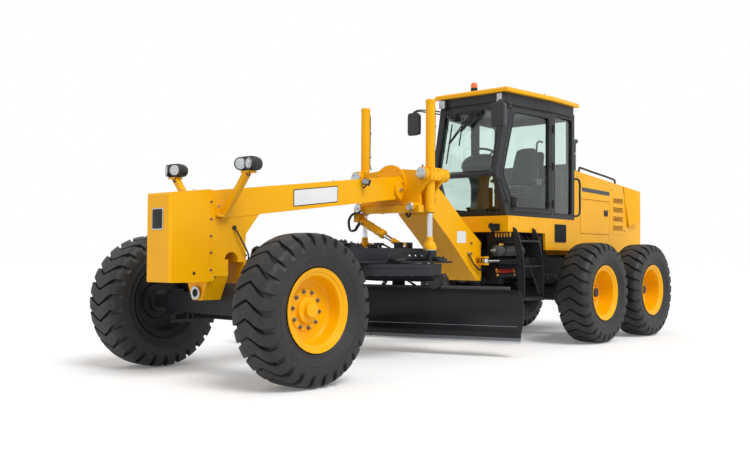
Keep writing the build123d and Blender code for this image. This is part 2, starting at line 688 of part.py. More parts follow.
def arc_band(front, thick, low, top, sag, y0, y1):
    """A curved plate, hollow side forward, between two heights."""
    middle = (low + top) / 2
    inner = ThreePointArc((front, low), (front - sag, middle), (front, top))
    outer = ThreePointArc((front - thick, top), (front - sag - thick, middle), (front - thick, low))
    edges = [inner, Line((front, top), (front - thick, top)), outer, Line((front - thick, low), (front, low))]
    plane = Plane((0, y1, 0), x_dir=(1, 0, 0), z_dir=(0, -1, 0))
    return extrude(plane * make_face(Wire(edges)), y1 - y0)


def moldboard():
    y0 = BLADE_SHIFT - BLADE_LENGTH / 2
    y1 = BLADE_SHIFT + BLADE_LENGTH / 2
    top = BLADE_LOW + BLADE_HEIGHT
    board = arc_band(BLADE_AHEAD, BLADE_THICK, BLADE_LOW + EDGE_HEIGHT - 40, top, BLADE_SAG, y0, y1)
    back = BLADE_AHEAD - RAIL_BACK
    low = BLADE_LOW + EDGE_HEIGHT - 40
    hollow = arc_band(BLADE_AHEAD + 200, 200 + BLADE_THICK - 4, low, top, BLADE_SAG, y0, y1)
    for z in (RAIL_LOWER, RAIL_UPPER):
        rail = block(back, back + 90, y0 + 60, y1 - 60, z - RAIL_HIGH / 2, z + RAIL_HIGH / 2)
        board += rail - hollow
    lug = block(BLADE_AHEAD - SIDE_BACK - 40, BLADE_AHEAD - 40, SIDE_LUG - 16, SIDE_LUG + 16,
                SIDE_Z - 38, SIDE_Z + 38)
    board += lug - hollow
    return at_circle(board)


def side_rod():
    x = BLADE_AHEAD - SIDE_BACK
    return at_circle(bar((x, SIDE_ROD_START, SIDE_Z), (x, SIDE_LUG - 16, SIDE_Z), SIDE_ROD))


def side_barrel():
    x = BLADE_AHEAD - SIDE_BACK
    tube = bar((x, SIDE_START, SIDE_Z), (x, SIDE_MOUTH, SIDE_Z), SIDE_TUBE)
    tube -= bar((x, SIDE_START + 15, SIDE_Z), (x, SIDE_MOUTH - 50, SIDE_Z), SIDE_TUBE - 8)
    tube -= bar((x, SIDE_MOUTH - 60, SIDE_Z), (x, SIDE_MOUTH + 1, SIDE_Z), SIDE_ROD + RUNNING_FIT)
    return at_circle(tube)


def blade_carrier():
    """Plate behind the blade that tips on the arms' pins, with shoes the blade's rails slide in."""
    back = BLADE_AHEAD - RAIL_BACK - CARRIER_GAP
    foot = BLADE_AHEAD - TIP_BACK
    half = ARM_Y - ARM_THICK / 2 - 8
    low = RAIL_LOWER - RAIL_HIGH / 2
    high = RAIL_UPPER + RAIL_HIGH / 2
    solid = block(back - CARRIER_THICK, back, -half, half, low - 30, high + 30)
    for z0, z1 in ((low - 30, low - 6), (high + 6, high + 30)):
        solid += block(back - 5, back + 50, -half, half, z0, z1)
    for side in (1, -1):
        ends = sorted((side * (half - 34), side * half))
        ear = [(back - CARRIER_THICK + 5, low), (foot - 34, TIP_Z - 34), (foot - 34, TIP_Z + 34),
               (back - CARRIER_THICK + 5, high - 60)]
        solid += prism_xz(ear, ends[0], ends[1])
        pin = ARM_Y + ARM_THICK / 2 + 22
        solid += bar((foot, side * (half - 20), TIP_Z), (foot, side * pin, TIP_Z), TIP_PIN)
        solid += block(foot - 6, foot + 40, *sorted((side * (half - 34), side * half)), SIDE_Z, TIP_Z)
    solid -= bar((BLADE_AHEAD - SIDE_BACK, -900, SIDE_Z), (BLADE_AHEAD - SIDE_BACK, 900, SIDE_Z), SIDE_TUBE)
    return at_circle(solid)


def cutting_edge():
    y0 = BLADE_SHIFT - BLADE_LENGTH / 2
    y1 = BLADE_SHIFT + BLADE_LENGTH / 2
    low = BLADE_LOW
    edge = prism_xz([(BLADE_AHEAD + 24, low), (BLADE_AHEAD + 30, low), (BLADE_AHEAD, low + EDGE_HEIGHT - 40),
                     (BLADE_AHEAD - EDGE_THICK, low + EDGE_HEIGHT - 40)], y0, y1)
    return at_circle(edge)


# ---- rear frame ----

def rear_frame():
    front = PIVOT_X - LUG_RADIUS - 30
    wall = RAIL_WALL
    solid = block(front - 90, front, -RAIL_Y - wall, RAIL_Y + wall, PIVOT_LOW - 90, PIVOT_TOP + 76)
    solid += block(TAIL_X, TAIL_X + 260, -RAIL_Y - 180, RAIL_Y + 180, RAIL_LOW - 40, RAIL_TOP + 20)
    for side in (1, -1):
        y = side * RAIL_Y
        solid += block(TAIL_X + 120, front, y - wall, y + wall, RAIL_LOW, RAIL_TOP)
        solid += artic_bracket(side)
    for x in (TANDEM_X + 900, TANDEM_X, TANDEM_X - 900):
        solid += block(x - 60, x + 60, -RAIL_Y, RAIL_Y, RAIL_LOW, RAIL_TOP)
    for low in (PIVOT_LOW - LUG_GAP - LUG_THICK, PIVOT_LOW + LUG_THICK + LUG_GAP,
                PIVOT_TOP - LUG_THICK - LUG_GAP - LUG_THICK, PIVOT_TOP + LUG_GAP):
        lug = block(front - 20, PIVOT_X, -LUG_RADIUS, LUG_RADIUS, low, low + LUG_THICK)
        lug += Pos(PIVOT_X, 0, low + LUG_THICK / 2) * Cylinder(LUG_RADIUS, LUG_THICK)
        solid += lug
    for low in (PIVOT_LOW - LUG_GAP - LUG_THICK, PIVOT_TOP - 2 * LUG_THICK - LUG_GAP):
        solid += bar((PIVOT_X, 0, low), (PIVOT_X, 0, low + 3 * LUG_THICK + 2 * LUG_GAP), PIVOT_PIN)
    for back in (350, 1300):
        x = rx(CAB_AHEAD) - back
        half = RAIL_Y + RAIL_WALL + 10
        solid += block(x - 40, x + 40, -half, half, RAIL_TOP - 5, CAB_FLOOR - DECK_THICK)
    return solid + tow_hitch()


def hitch_top():
    return RAIL_LOW - 40


def tow_hitch():
    """A clevis under the tail, for a tow pin put in from below."""
    top = hitch_top()
    low = top - HITCH_GAP - 2 * HITCH_PLATE
    solid = block(TAIL_X + HITCH_DEEP, TAIL_X + HITCH_DEEP + 75, -HITCH_HALF, HITCH_HALF, low, top + 5)
    for z in (low, top - HITCH_PLATE):
        solid += block(TAIL_X + 4, TAIL_X + HITCH_DEEP + 5, -HITCH_HALF, HITCH_HALF, z, z + HITCH_PLATE)
    return solid - bar((TAIL_X + HITCH_BORE_IN, 0, low - 1), (TAIL_X + HITCH_BORE_IN, 0, top), HITCH_BORE)


def artic_bracket(side):
    """Ears on a rail with the rear pin of an articulation cylinder."""
    x = PIVOT_X + ARTIC_REAR[0]
    y = side * ARTIC_REAR[1]
    root = side * (RAIL_Y + RAIL_WALL - 5)
    solid = Pos(x, y, ARTIC_Z) * Cylinder(ARTIC_PIN, EYE_THICK + 30)
    for z0 in (ARTIC_Z + EYE_THICK / 2 + 2, ARTIC_Z - EYE_THICK / 2 - 2 - 24):
        solid += block(x - 40, x + 40, min(y, root), max(y, root), z0, z0 + 24)
        solid += Pos(x, y, z0 + 12) * Cylinder(40, 24)
    return solid


def artic_ends(side):
    rear = Vector(PIVOT_X + ARTIC_REAR[0], side * ARTIC_REAR[1], ARTIC_Z)
    front = Vector(PIVOT_X + ARTIC_FRONT[0], side * ARTIC_FRONT[1], ARTIC_Z)
    return rear, front


def artic_barrel(side):
    rear, front = artic_ends(side)
    return cylinder_barrel(rear, front, ARTIC_TUBE, ARTIC_ROD, ARTIC_TUBE_LENGTH, Vector(0, 0, 1), ARTIC_PIN)


def artic_rod(side):
    rear, front = artic_ends(side)
    return cylinder_rod(rear, front, ARTIC_ROD, 330, Vector(0, 0, 1))


def cylinder_barrel(rear, front, tube, rod, length, pin_axis, pin):
    """A hydraulic barrel with an eye at its closed end and a gland at the other."""
    along = (front - rear).normalized()
    mouth = rear + along * length
    barrel = bar(rear + along * 62, mouth, tube)
    barrel += bar(rear + along * 30, mouth, min(tube, EYE_THICK / 2))
    barrel -= bar(rear + along * 90, mouth - along * 50, tube - 9)
    barrel -= bar(mouth - along * 60, mouth + along * 5, rod + RUNNING_FIT)
    barrel += Plane(rear, z_dir=pin_axis) * Cylinder(46, EYE_THICK)
    return barrel - Plane(rear, z_dir=pin_axis) * Cylinder(pin + RUNNING_FIT, 2 * EYE_THICK)


def cylinder_rod(rear, front, rod, start, pin_axis):
    """A piston rod with an eye."""
    along = (front - rear).normalized()
    solid = bar(rear + along * start, front - along * 20, rod)
    solid += Plane(front, z_dir=pin_axis) * Cylinder(EYE_RADIUS, EYE_THICK)
    return solid - Plane(front, z_dir=pin_axis) * Cylinder(ARTIC_PIN, 2 * EYE_THICK)


def shift_ends():
    x = fx(SHIFT_BACK)
    return Vector(x, SHIFT_TOP[0], SHIFT_TOP[1]), Vector(x, SHIFT_BALL[0], SHIFT_BALL[1])


def shift_barrel():
    top, ball = shift_ends()
    return cylinder_barrel(top, ball, SHIFT_TUBE, SHIFT_ROD, SHIFT_TUBE_LENGTH, Vector(1, 0, 0), 18)


def shift_rod():
    top, ball = shift_ends()
    along = (ball - top).normalized()
    return bar(top + along * SHIFT_ROD_START, ball, SHIFT_ROD) + Pos(ball) * Sphere(SHIFT_END)


def rear_axle():
    tube = bar((TANDEM_X, -CASE_Y0, TYRE_RADIUS), (TANDEM_X, CASE_Y0, TYRE_RADIUS), AXLE_TUBE)
    for side in (1, -1):
        y = side * RAIL_Y
        tube += block(TANDEM_X - 150, TANDEM_X + 150, y - 60, y + 60, TYRE_RADIUS + 100, RAIL_LOW)
    return tube


def tandem_case(side):
    y0 = min(side * CASE_Y0, side * CASE_Y1)
    y1 = max(side * CASE_Y0, side * CASE_Y1)
    half = TANDEM_PITCH / 2
    solid = block(TANDEM_X - half, TANDEM_X + half, y0, y1, TYRE_RADIUS - CASE_HALF, TYRE_RADIUS + CASE_HALF)
    for end in (half, -half):
        x = TANDEM_X + end
        solid += bar((x, y0, TYRE_RADIUS), (x, y1, TYRE_RADIUS), CASE_HALF)
        solid += bar((x, side * CASE_Y0, TYRE_RADIUS), (x, side * (CASE_Y1 + 60), TYRE_RADIUS), 120)
        solid += bar((x, side * CASE_Y0, TYRE_RADIUS), (x, spindle_end(side), TYRE_RADIUS), SPINDLE_RADIUS)
    return solid


# ---- cab ----

def cab_volume(inset):
    """The cab's outer shape, moved in by the inset on every face but the top."""
    foot = rx(CAB_AHEAD) - inset
    belt = foot + BELT_AHEAD
    top = foot - CAB_TOP_BACK
    rear = rx(CAB_AHEAD) - CAB_LENGTH + inset
    side = prism_xz([(foot, CAB_FLOOR + inset), (belt, CAB_BELT), (top, CAB_TOP), (rear, CAB_TOP),
                     (rear, CAB_FLOOR + inset)], -900, 900)
    post = rx(CAB_AHEAD) - POST_BACK
    front = rx(CAB_AHEAD) + BELT_AHEAD
    nose_half = CAB_FRONT_HALF - inset
    half = CAB_REAR_HALF - inset
    plan = prism_xy([(front, -nose_half), (front, nose_half), (post, half), (rear, half), (rear, -half),
                     (post, -half)], CAB_FLOOR, CAB_TOP)
    return side & plan


def door_outline(grow):
    """Door's outline on the side, grown outwards by that much."""
    foot = rx(CAB_AHEAD)
    post = foot - POST_BACK - grow
    return [(foot - 95 + grow, CAB_FLOOR + 60 - grow), (foot + BELT_AHEAD - 85 + grow, CAB_BELT),
            (foot - CAB_TOP_BACK - 90 + grow, CAB_TOP - 70 + grow), (post, CAB_TOP - 70 + grow),
            (post, CAB_FLOOR + 60 - grow)]


def side_panel(points, side):
    y0, y1 = (300, 900) if side > 0 else (-900, -300)
    return prism_xz(points, y0, y1)


def quarter_outline():
    foot = rx(CAB_AHEAD)
    front = foot - POST_BACK - 85
    rear = foot - CAB_LENGTH + 75
    return [(front, CAB_FLOOR + 70), (front, CAB_TOP - 85), (rear, CAB_TOP - 85), (rear, CAB_FLOOR + 70)]


def screen(z0, z1):
    front = rx(CAB_AHEAD) + BELT_AHEAD + 50
    half = CAB_FRONT_HALF - 60
    return block(rx(CAB_AHEAD) - 240, front, -half, half, z0, z1)


def rear_window():
    rear = rx(CAB_AHEAD) - CAB_LENGTH
    half = CAB_REAR_HALF - 110
    return block(rear - 50, rear + 150, -half, half, 2460, CAB_TOP - 85)


def window_cuts():
    cuts = [screen(CAB_FLOOR + 70, CAB_BELT - 30), screen(CAB_BELT + 30, CAB_TOP - 85), rear_window()]
    for side in (1, -1):
        cuts.append(side_panel(quarter_outline(), side))
    return cuts


def cab_shell():
    shell = cab_volume(0) - cab_volume(CAB_WALL)
    for cut in window_cuts():
        shell -= cut
    for side in (1, -1):
        shell -= side_panel(door_outline(DOOR_GAP), side)
    return shell + roof_slab(60, CAB_TOP, CAB_TOP + ROOF_UP)


def roof_slab(inset, low, high):
    foot = rx(CAB_AHEAD)
    front = foot + ROOF_OVER - inset
    rear = foot - CAB_LENGTH - 60 + inset
    near = CAB_FRONT_HALF + 75 - inset
    far = CAB_REAR_HALF + 45 - inset
    post = foot - POST_BACK
    return prism_xy([(front, -near), (front, near), (post, far), (rear, far), (rear, -far), (post, -far)],
                    low, high)


def cab_glass():
    sheet = cab_volume(PANE_IN) - cab_volume(PANE_IN + PANE)
    return [sheet & cut for cut in window_cuts()]


def door(side):
    shell = cab_volume(0) - cab_volume(CAB_WALL)
    frame = shell & side_panel(door_outline(0), side)
    return frame - side_panel(door_outline(-FRAME_WIDTH), side)


def door_glass(side):
    sheet = cab_volume(PANE_IN) - cab_volume(PANE_IN + PANE)
    return sheet & side_panel(door_outline(-FRAME_WIDTH), side)


def cab_roof():
    slab = roof_slab(0, CAB_TOP + ROOF_UP, CAB_TOP + ROOF_UP + ROOF_THICK)
    return chamfer(slab.faces().sort_by(Axis.Z)[-1].edges(), 24)


def seat():
    x = rx(CAB_AHEAD) - 1050
    return (block(x - 260, x + 240, -240, 240, 2000, 2140) + block(x - 380, x - 260, -240, 240, 2000, 2680)
            + block(x - 160, x + 140, -160, 160, CAB_FLOOR + CAB_WALL, 2000))


def console():
    x = rx(CAB_AHEAD) - 190
    post = block(x - 60, x + 60, -70, 70, CAB_FLOOR + CAB_WALL, 2380)
    middle = (x - 150, 0, 2500)
    wheel = Pos(*middle) * Rot(0, -25, 0) * Torus(190, 16)
    spoke = Pos(*middle) * Rot(0, -25, 0) * Box(30, 380, 12)
    return post + wheel + bar((x, 0, 2330), middle, 22) + spoke


# ---- platform, hood and the rest ----

def platform():
    foot = rx(CAB_AHEAD)
    rear = foot - CAB_LENGTH - 130
    step = foot - STEP_BACK
    top = CAB_FLOOR
    front = foot + DECK_AHEAD
    deck = block(rear, front, -DECK_HALF, DECK_HALF, top - DECK_THICK, top)
    skirt = [(front, top - DECK_THICK), (front, DECK_LOW), (step, DECK_LOW), (step - 24, STEP_LOW),
             (rear, STEP_LOW), (rear, top - DECK_THICK)]
    for side in (1, -1):
        y = side * (DECK_HALF - DECK_THICK / 2)
        deck += prism_xz(skirt, y - DECK_THICK / 2, y + DECK_THICK / 2)
    return deck + block(front - DECK_THICK, front, -DECK_HALF, DECK_HALF, DECK_LOW, top)


def hood_front():
    return rx(CAB_AHEAD) - CAB_LENGTH - 130 - HOOD_GAP


def hood_volume(inset):
    front = hood_front()
    rear = TAIL_X + 30
    side = prism_xz([(front - inset, HOOD_LOW), (front - inset, HOOD_FRONT_TOP - inset),
                     (rear + inset, HOOD_REAR_TOP - inset), (rear + inset, HOOD_LOW)], -900, 900)
    half = HOOD_HALF - inset
    return side & block(rear, front, -half, half, HOOD_LOW, HOOD_FRONT_TOP)


def hood():
    shell = hood_volume(0) - hood_volume(HOOD_WALL)
    for side in (1, -1):
        shell -= side_panel(hood_door_outline(DOOR_GAP), side)
        shell += hood_flare(side)
    return shell


def hood_flare(side):
    """A housing that widens towards the tail beside the cooling fan."""
    outline = [(TANDEM_X + ahead, z) for ahead, z in HOOD_FLARE]
    front, rear = outline[0][0], outline[2][0]
    root = side * (HOOD_HALF - 20)
    out = side * (HOOD_HALF + HOOD_FLARE_OUT)
    plan = [(front + 70, root), (rear, out), (rear, root)]
    return prism_xz(outline, -900, 900) & prism_xy(plan, 1000, 2400)


def hood_door_outline(grow):
    front = TANDEM_X + HOOD_DOOR[0] + grow
    rear = TANDEM_X + HOOD_DOOR[1] - grow
    low = HOOD_DOOR[2] - grow
    high = HOOD_DOOR[3] + grow
    return [(front, low), (front, high), (rear, high), (rear, low)]


def hood_door(side):
    shell = hood_volume(0) - hood_volume(HOOD_WALL)
    return shell & side_panel(hood_door_outline(0), side)


def engine():
    return block(TANDEM_X - 1200, TANDEM_X + 60, -330, 330, RAIL_TOP, 1980)


def hood_top(x):
    """Height of the hood's top at a place along the machine."""
    front = hood_front()
    rear = TAIL_X + 30
    return HOOD_FRONT_TOP + (HOOD_REAR_TOP - HOOD_FRONT_TOP) * (front - x) / (front - rear)


def exhaust():
    x = TANDEM_X - 110
    y = 330
    low = hood_top(x + 80)
    foot = block(x - 80, x + 80, y - 80, y + 80, low, low + 60)
    return foot + pipe((x, y, low + 55), (x, y, 2900), 55, 48)


def ladders():
    """A ladder each side: stiles that lean out from the deck and then hang upright."""
    steps = []
    x = rx(LADDER_AHEAD)
    out = LADDER_OUT
    deep = LADDER_DEEP
    middle = 1080.0
    top = 1580.0
    for side in (1, -1):
        outline = [(side * DECK_HALF, top - 70), (side * (out - 10), middle), (side * out, LADDER_FOOT),
                   (side * (out - deep), LADDER_FOOT), (side * (out - deep - 20), middle - 30),
                   (side * DECK_HALF, top - 250)]
        solid = None
        for end in (x + LADDER_HALF, x - LADDER_HALF):
            stile = prism_yz(outline, end - 10, end + 10)
            solid = stile if solid is None else solid + stile
        for z, y in ((LADDER_FOOT, out), (1010.0, out - 12), (1330.0, out - 120)):
            ends = sorted((side * y, side * (y - deep + 8)))
            solid += block(x - LADDER_HALF, x + LADDER_HALF, ends[0], ends[1], z, z + 26)
        steps.append(solid)
    return steps


def tanks():
    x = rx(CAB_AHEAD)
    return both(bar((x + 190, TANK_Y, TANK_Z), (x - 450, TANK_Y, TANK_Z), TANK_RADIUS))


def beacon():
    x = rx(CAB_AHEAD) - 108
    return Pos(x, -50, CAB_TOP + ROOF_UP + ROOF_THICK + 74) * Cylinder(45, 148)


def mirrors():
    out = []
    for side in (1, -1):
        x = rx(CAB_AHEAD)
        root = (x - 70, side * (CAB_FRONT_HALF + 32), CAB_TOP - 40)
        head = (x + 405, side * 663, CAB_TOP - 110)
        arm = bar(root, head, 13) - cab_volume(0)
        glass = block(x + 375, x + 435, side * 663 - 92, side * 663 + 92, CAB_TOP - 400, CAB_TOP - 95)
        glass = fillet(glass.edges().filter_by(Axis.X), 34)
        out.append(arm + glass)
    return out


def hood_rails():
    x0 = TANDEM_X - 30
    x1 = TANDEM_X - 1240
    rails = []
    for side in (1, -1):
        y = side * 450
        z0 = hood_top(x0)
        z1 = hood_top(x1)
        rail = bar((x0, y, z0), (x0 - 60, y, z0 + 95), 16)
        rail += bar((x0 - 60, y, z0 + 95), (x1 + 60, y, z1 + 95), 16)
        rail += bar((x1 + 60, y, z1 + 95), (x1, y, z1), 16)
        rails.append(rail - block(x1 - 100, x0 + 100, y - 50, y + 50, z1 - 100, z1) - hood_volume(0))
    return rails


def main():
    os.makedirs("parts", exist_ok=True)
    for name, x, side in WHEELS:
        centre = (x, side * WHEEL_Y, TYRE_RADIUS)
        write("tyre_" + name, tyre(centre, side))
        write("rim_" + name, rim(centre, side))
    write("front_axle", front_axle())
    write("knuckle_left", knuckle(1))
    write("knuckle_right", knuckle(-1))
    write("tie_rod", tie_rod())
    write("front_frame", front_frame())
    write("counterweight", nose())
    write("saddle", saddle() + link_bar())
    write("lift_cylinders", lift_tubes())
    write("lift_rods", lift_rods())
    write("headlamps", headlamps())
    write("drawbar", drawbar())
    write("circle", circle())
    write("circle_drive", circle_drive())
    write("blade_carrier", blade_carrier())
    write("side_shift_barrel", side_barrel())
    write("side_shift_rod", side_rod())
    write("moldboard", moldboard())
    write("cutting_edge", cutting_edge())
    write("rear_frame", rear_frame())
    write("rear_axle", rear_axle())
    write("tandem_case_left", tandem_case(1))
    write("tandem_case_right", tandem_case(-1))
    write("cab_shell", cab_shell())
    write("cab_glass", cab_glass())
    write("cab_roof", cab_roof())
    write("cab_door_left", door(1))
    write("cab_door_right", door(-1))
    write("door_glass_left", door_glass(1))
    write("door_glass_right", door_glass(-1))
    write("seat", seat())
    write("steering_console", console())
    write("platform", platform())
    write("hood", hood())
    write("hood_door_left", hood_door(1))
    write("hood_door_right", hood_door(-1))
    write("engine_block", engine())
    write("exhaust_stack", exhaust())
    write("ladders", ladders())
    write("fuel_tanks", tanks())
    for name, side in (("left", 1), ("right", -1)):
        write("articulation_barrel_" + name, artic_barrel(side))
        write("articulation_rod_" + name, artic_rod(side))
    write("centre_shift_barrel", shift_barrel())
    write("centre_shift_rod", shift_rod())
    write("beacon", beacon())
    write("mirrors", mirrors())
    write("hood_rails", hood_rails())


if __name__ == "__main__":
    main()
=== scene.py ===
"""Motor grader: the looks of every piece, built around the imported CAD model.

Run as a script. Each operator makes one group of pieces, and main() calls them in order.
"""

import json
import math
import random

import bmesh
import bpy
import numpy as np
from mathutils import Matrix, Vector, noise


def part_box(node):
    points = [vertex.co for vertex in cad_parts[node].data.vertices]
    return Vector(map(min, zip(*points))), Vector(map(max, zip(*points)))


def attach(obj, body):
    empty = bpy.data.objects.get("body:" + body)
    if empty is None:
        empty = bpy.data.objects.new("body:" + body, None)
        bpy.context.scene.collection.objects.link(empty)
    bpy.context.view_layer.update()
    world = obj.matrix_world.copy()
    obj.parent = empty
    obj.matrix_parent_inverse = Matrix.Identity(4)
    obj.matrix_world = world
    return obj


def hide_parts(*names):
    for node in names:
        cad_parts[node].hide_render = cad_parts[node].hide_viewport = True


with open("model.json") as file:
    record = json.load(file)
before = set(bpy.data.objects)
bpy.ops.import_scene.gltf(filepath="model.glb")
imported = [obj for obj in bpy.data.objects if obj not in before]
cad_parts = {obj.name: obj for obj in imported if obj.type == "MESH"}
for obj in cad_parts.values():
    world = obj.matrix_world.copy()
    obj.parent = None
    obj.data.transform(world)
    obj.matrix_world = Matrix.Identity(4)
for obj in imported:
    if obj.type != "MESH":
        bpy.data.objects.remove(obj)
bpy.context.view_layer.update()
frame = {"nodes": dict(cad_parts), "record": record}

bl_info = {
    "name": "Motor grader",
    "version": (1, 0, 0),
    "blender": (4, 5, 0),
    "location": "View3D > Sidebar > Grader",
    "description": "Builds the looks of a motor grader around its CAD frame",
    "category": "Object",
}

MM = 0.001
LEFT, RIGHT = 1, -1
SIDES = (LEFT, RIGHT)
SIDE_NAMES = {LEFT: "left", RIGHT: "right"}


# ---- places, from the CAD boxes, in millimetres ----

def box_mm(*nodes):
    """Lowest and highest corners, in millimetres, of one or more CAD nodes taken together."""
    corners = [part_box(node) for node in nodes]
    low = Vector([min(c[0][i] for c in corners) for i in range(3)]) / MM
    high = Vector([max(c[1][i] for c in corners) for i in range(3)]) / MM
    return low, high


def middle(node):
    low, high = box_mm(node)
    return (low + high) / 2


WHEELS = [end + "_" + side for end in ("front", "middle", "rear") for side in ("left", "right")]
AXLE = middle("tyre_front_left")
NOSE_LOW, NOSE_HIGH = box_mm("counterweight")
SADDLE_LOW, SADDLE_HIGH = box_mm("saddle")
CAB_LOW, CAB_HIGH = box_mm("cab_shell")
ROOF_LOW, ROOF_HIGH = box_mm("cab_roof")
HOOD_LOW, HOOD_HIGH = box_mm("hood")
DECK_LOW, DECK_HIGH = box_mm("platform")
GOOSE_REAR = AXLE.x - 3990


# ---- mesh code: everything is drawn in millimetres and scaled once ----

def smooth_mesh(name, bm, angle=32.0):
    """A mesh object from the drawn faces, in metres, smooth up to an angle."""
    bmesh.ops.remove_doubles(bm, verts=bm.verts, dist=0.02)
    bmesh.ops.recalc_face_normals(bm, faces=bm.faces)
    bmesh.ops.scale(bm, vec=(MM, MM, MM), verts=bm.verts)
    mesh = bpy.data.meshes.new(name)
    bm.to_mesh(mesh)
    bm.free()
    mesh.shade_smooth()
    mesh.set_sharp_from_angle(angle=math.radians(angle))
    piece = bpy.data.objects.new(name, mesh)
    bpy.context.scene.collection.objects.link(piece)
    return piece


def finish_piece(name, bm, materials, body, replaces=(), angle=32.0):
    """The drawn faces as a piece with its materials, riding on a body."""
    piece = smooth_mesh(name, bm, angle)
    for material in materials if isinstance(materials, (list, tuple)) else [materials]:
        piece.data.materials.append(material)
    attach(piece, body)
    if replaces:
        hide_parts(*replaces)
    return piece


def ring_of(bm, points, close=True):
    return [bm.verts.new(p) for p in points]


def skin(bm, rings, wrap=True, cap=True, index=0):
    """Faces between successive rings of equal length, with flat ends."""
    made = []
    count = len(rings[0])
    span = count if wrap else count - 1
    for near, far in zip(rings, rings[1:]):
        for i in range(span):
            j = (i + 1) % count
            made.append(bm.faces.new((near[i], near[j], far[j], far[i])))
    if cap:
        made.append(bm.faces.new(rings[0][::-1]))
        made.append(bm.faces.new(rings[-1]))
    for face in made:
        face.material_index = index
    return made


def across(axis):
    """Two unit vectors square to an axis."""
    axis = Vector(axis).normalized()
    side = Vector((0, 0, 1)) if abs(axis.z) < 0.9 else Vector((1, 0, 0))
    first = axis.cross(side).normalized()
    return first, axis.cross(first).normalized()


def lathe(bm, profile, centre, axis, segments=48, index=0, turn=0.0, closed=False, cap=True):
    """A turned shape, capped at its ends or closed on itself. The profile is (radius, distance along the axis)."""
    axis = Vector(axis).normalized()
    first, second = across(axis)
    centre = Vector(centre)
    rings = []
    for radius, along in profile:
        radius = max(radius, 0.05)
        rings.append(ring_of(bm, [
            centre + axis * along + (first * math.cos(a) + second * math.sin(a)) * radius
            for a in [turn + 2 * math.pi * i / segments for i in range(segments)]]))
    if closed:
        return skin(bm, rings + rings[:1], cap=False, index=index)
    return skin(bm, rings, cap=cap, index=index)


def rod(bm, start, end, radius, segments=24, index=0, chamfer=None):
    """A straight bar with chamfered ends."""
    start, end = Vector(start), Vector(end)
    length = (end - start).length
    edge = min(radius, length / 2) * 0.16 if chamfer is None else chamfer
    return lathe(bm, [(radius - edge, 0), (radius, edge), (radius, length - edge), (radius - edge, length)],
                 start, end - start, segments, index)


def tube_along(bm, points, radius, segments=12, index=0, steps=7):
    """A bent tube or hose through the points, smoothed between them."""
    points = [Vector(p) for p in points]
    ends = [points[0] * 2 - points[1]] + points + [points[-1] * 2 - points[-2]]
    line = []
    for i in range(1, len(ends) - 2):
        a, b, c, d = ends[i - 1:i + 3]
        for s in range(steps):
            t = s / steps
            line.append(0.5 * (2 * b + (c - a) * t + (2 * a - 5 * b + 4 * c - d) * t * t
                               + (3 * b - a - 3 * c + d) * t ** 3))
    line.append(points[-1])
    rings = []
    first, _ = across(line[1] - line[0])
    for i, place in enumerate(line):
        along = (line[min(i + 1, len(line) - 1)] - line[max(i - 1, 0)]).normalized()
        first = (first - along * first.dot(along)).normalized()
        second = along.cross(first)
        rings.append(ring_of(bm, [place + (first * math.cos(a) + second * math.sin(a)) * radius
                                  for a in [2 * math.pi * k / segments for k in range(segments)]]))
    return skin(bm, rings, index=index)


def frame_for(axis, up=(0, 0, 1)):
    """Rotation that takes X, Y, Z to a plate's length, width and thickness direction."""
    z = Vector(axis).normalized()
    x = Vector(up).cross(z)
    x = x.normalized() if x.length > 1e-6 else Vector((1, 0, 0))
    return Matrix((x, z.cross(x), z)).transposed()


def rounded(half_x, half_y, radius, steps=4):
    """Outline of a rounded rectangle about the origin."""
    radius = min(radius, half_x, half_y)
    out = []
    for sx, sy, start in ((1, 1, 0), (-1, 1, 90), (-1, -1, 180), (1, -1, 270)):
        for k in range(steps + 1):
            a = math.radians(start + 90 * k / steps)
            out.append((sx * (half_x - radius) + radius * math.cos(a), sy * (half_y - radius) + radius * math.sin(a)))
    return out


def slab(bm, outline, place, axis, thick, edge=2.0, index=0, up=(0, 0, 1)):
    """A plate from an outline, its lower face at the place, with small rounded edges."""
    turn = frame_for(axis, up)
    place = Vector(place)
    middle_x = sum(p[0] for p in outline) / len(outline)
    middle_y = sum(p[1] for p in outline) / len(outline)
    rings = []
    edge = min(edge, thick / 2.2)
    for inset, height in ((edge, 0), (edge * 0.3, edge * 0.3), (0, edge), (0, thick - edge),
                          (edge * 0.3, thick - edge * 0.3), (edge, thick)):
        ring = []
        for x, y in outline:
            out = Vector((x - middle_x, y - middle_y))
            pull = inset / max(out.length, 1e-6)
            ring.append(place + turn @ Vector((x - out.x * pull, y - out.y * pull, height)))
        rings.append(ring_of(bm, ring))
    return skin(bm, rings, index=index)


def case(bm, x0, x1, y0, y1, z0, z1, edge=4.0, index=0, corner=None):
    """A box with rounded upright edges and softened rims."""
    outline = rounded(abs(x1 - x0) / 2, abs(y1 - y0) / 2, corner if corner is not None else edge)
    turn = Vector(((x0 + x1) / 2, (y0 + y1) / 2, min(z0, z1)))
    return slab(bm, [(p[0], p[1]) for p in outline], turn, (0, 0, 1), abs(z1 - z0), edge, index, up=(0, 1, 0))


def hex_bolt(bm, place, axis, size, index=0, turn=0.3):
    """A hexagon head on a washer: size is its width across flats."""
    radius = size / math.sqrt(3)
    lathe(bm, [(size * 0.72, 0), (size * 0.74, 0.6), (size * 0.74, size * 0.11), (size * 0.7, size * 0.14)],
          place, axis, 14, index)
    lathe(bm, [(radius, size * 0.13), (radius, size * 0.62), (radius * 0.88, size * 0.7)], place, axis, 6, index, turn)


def new_drawing():
    return bmesh.new()


# ---- finishes ----

def srgb(code, alpha=1.0):
    """An sRGB hex colour as linear red, green, blue and alpha."""
    values = [int(code[i:i + 2], 16) / 255 for i in (1, 3, 5)]
    linear = [v / 12.92 if v <= 0.04045 else ((v + 0.055) / 1.055) ** 2.4 for v in values]
    return (*linear, alpha)


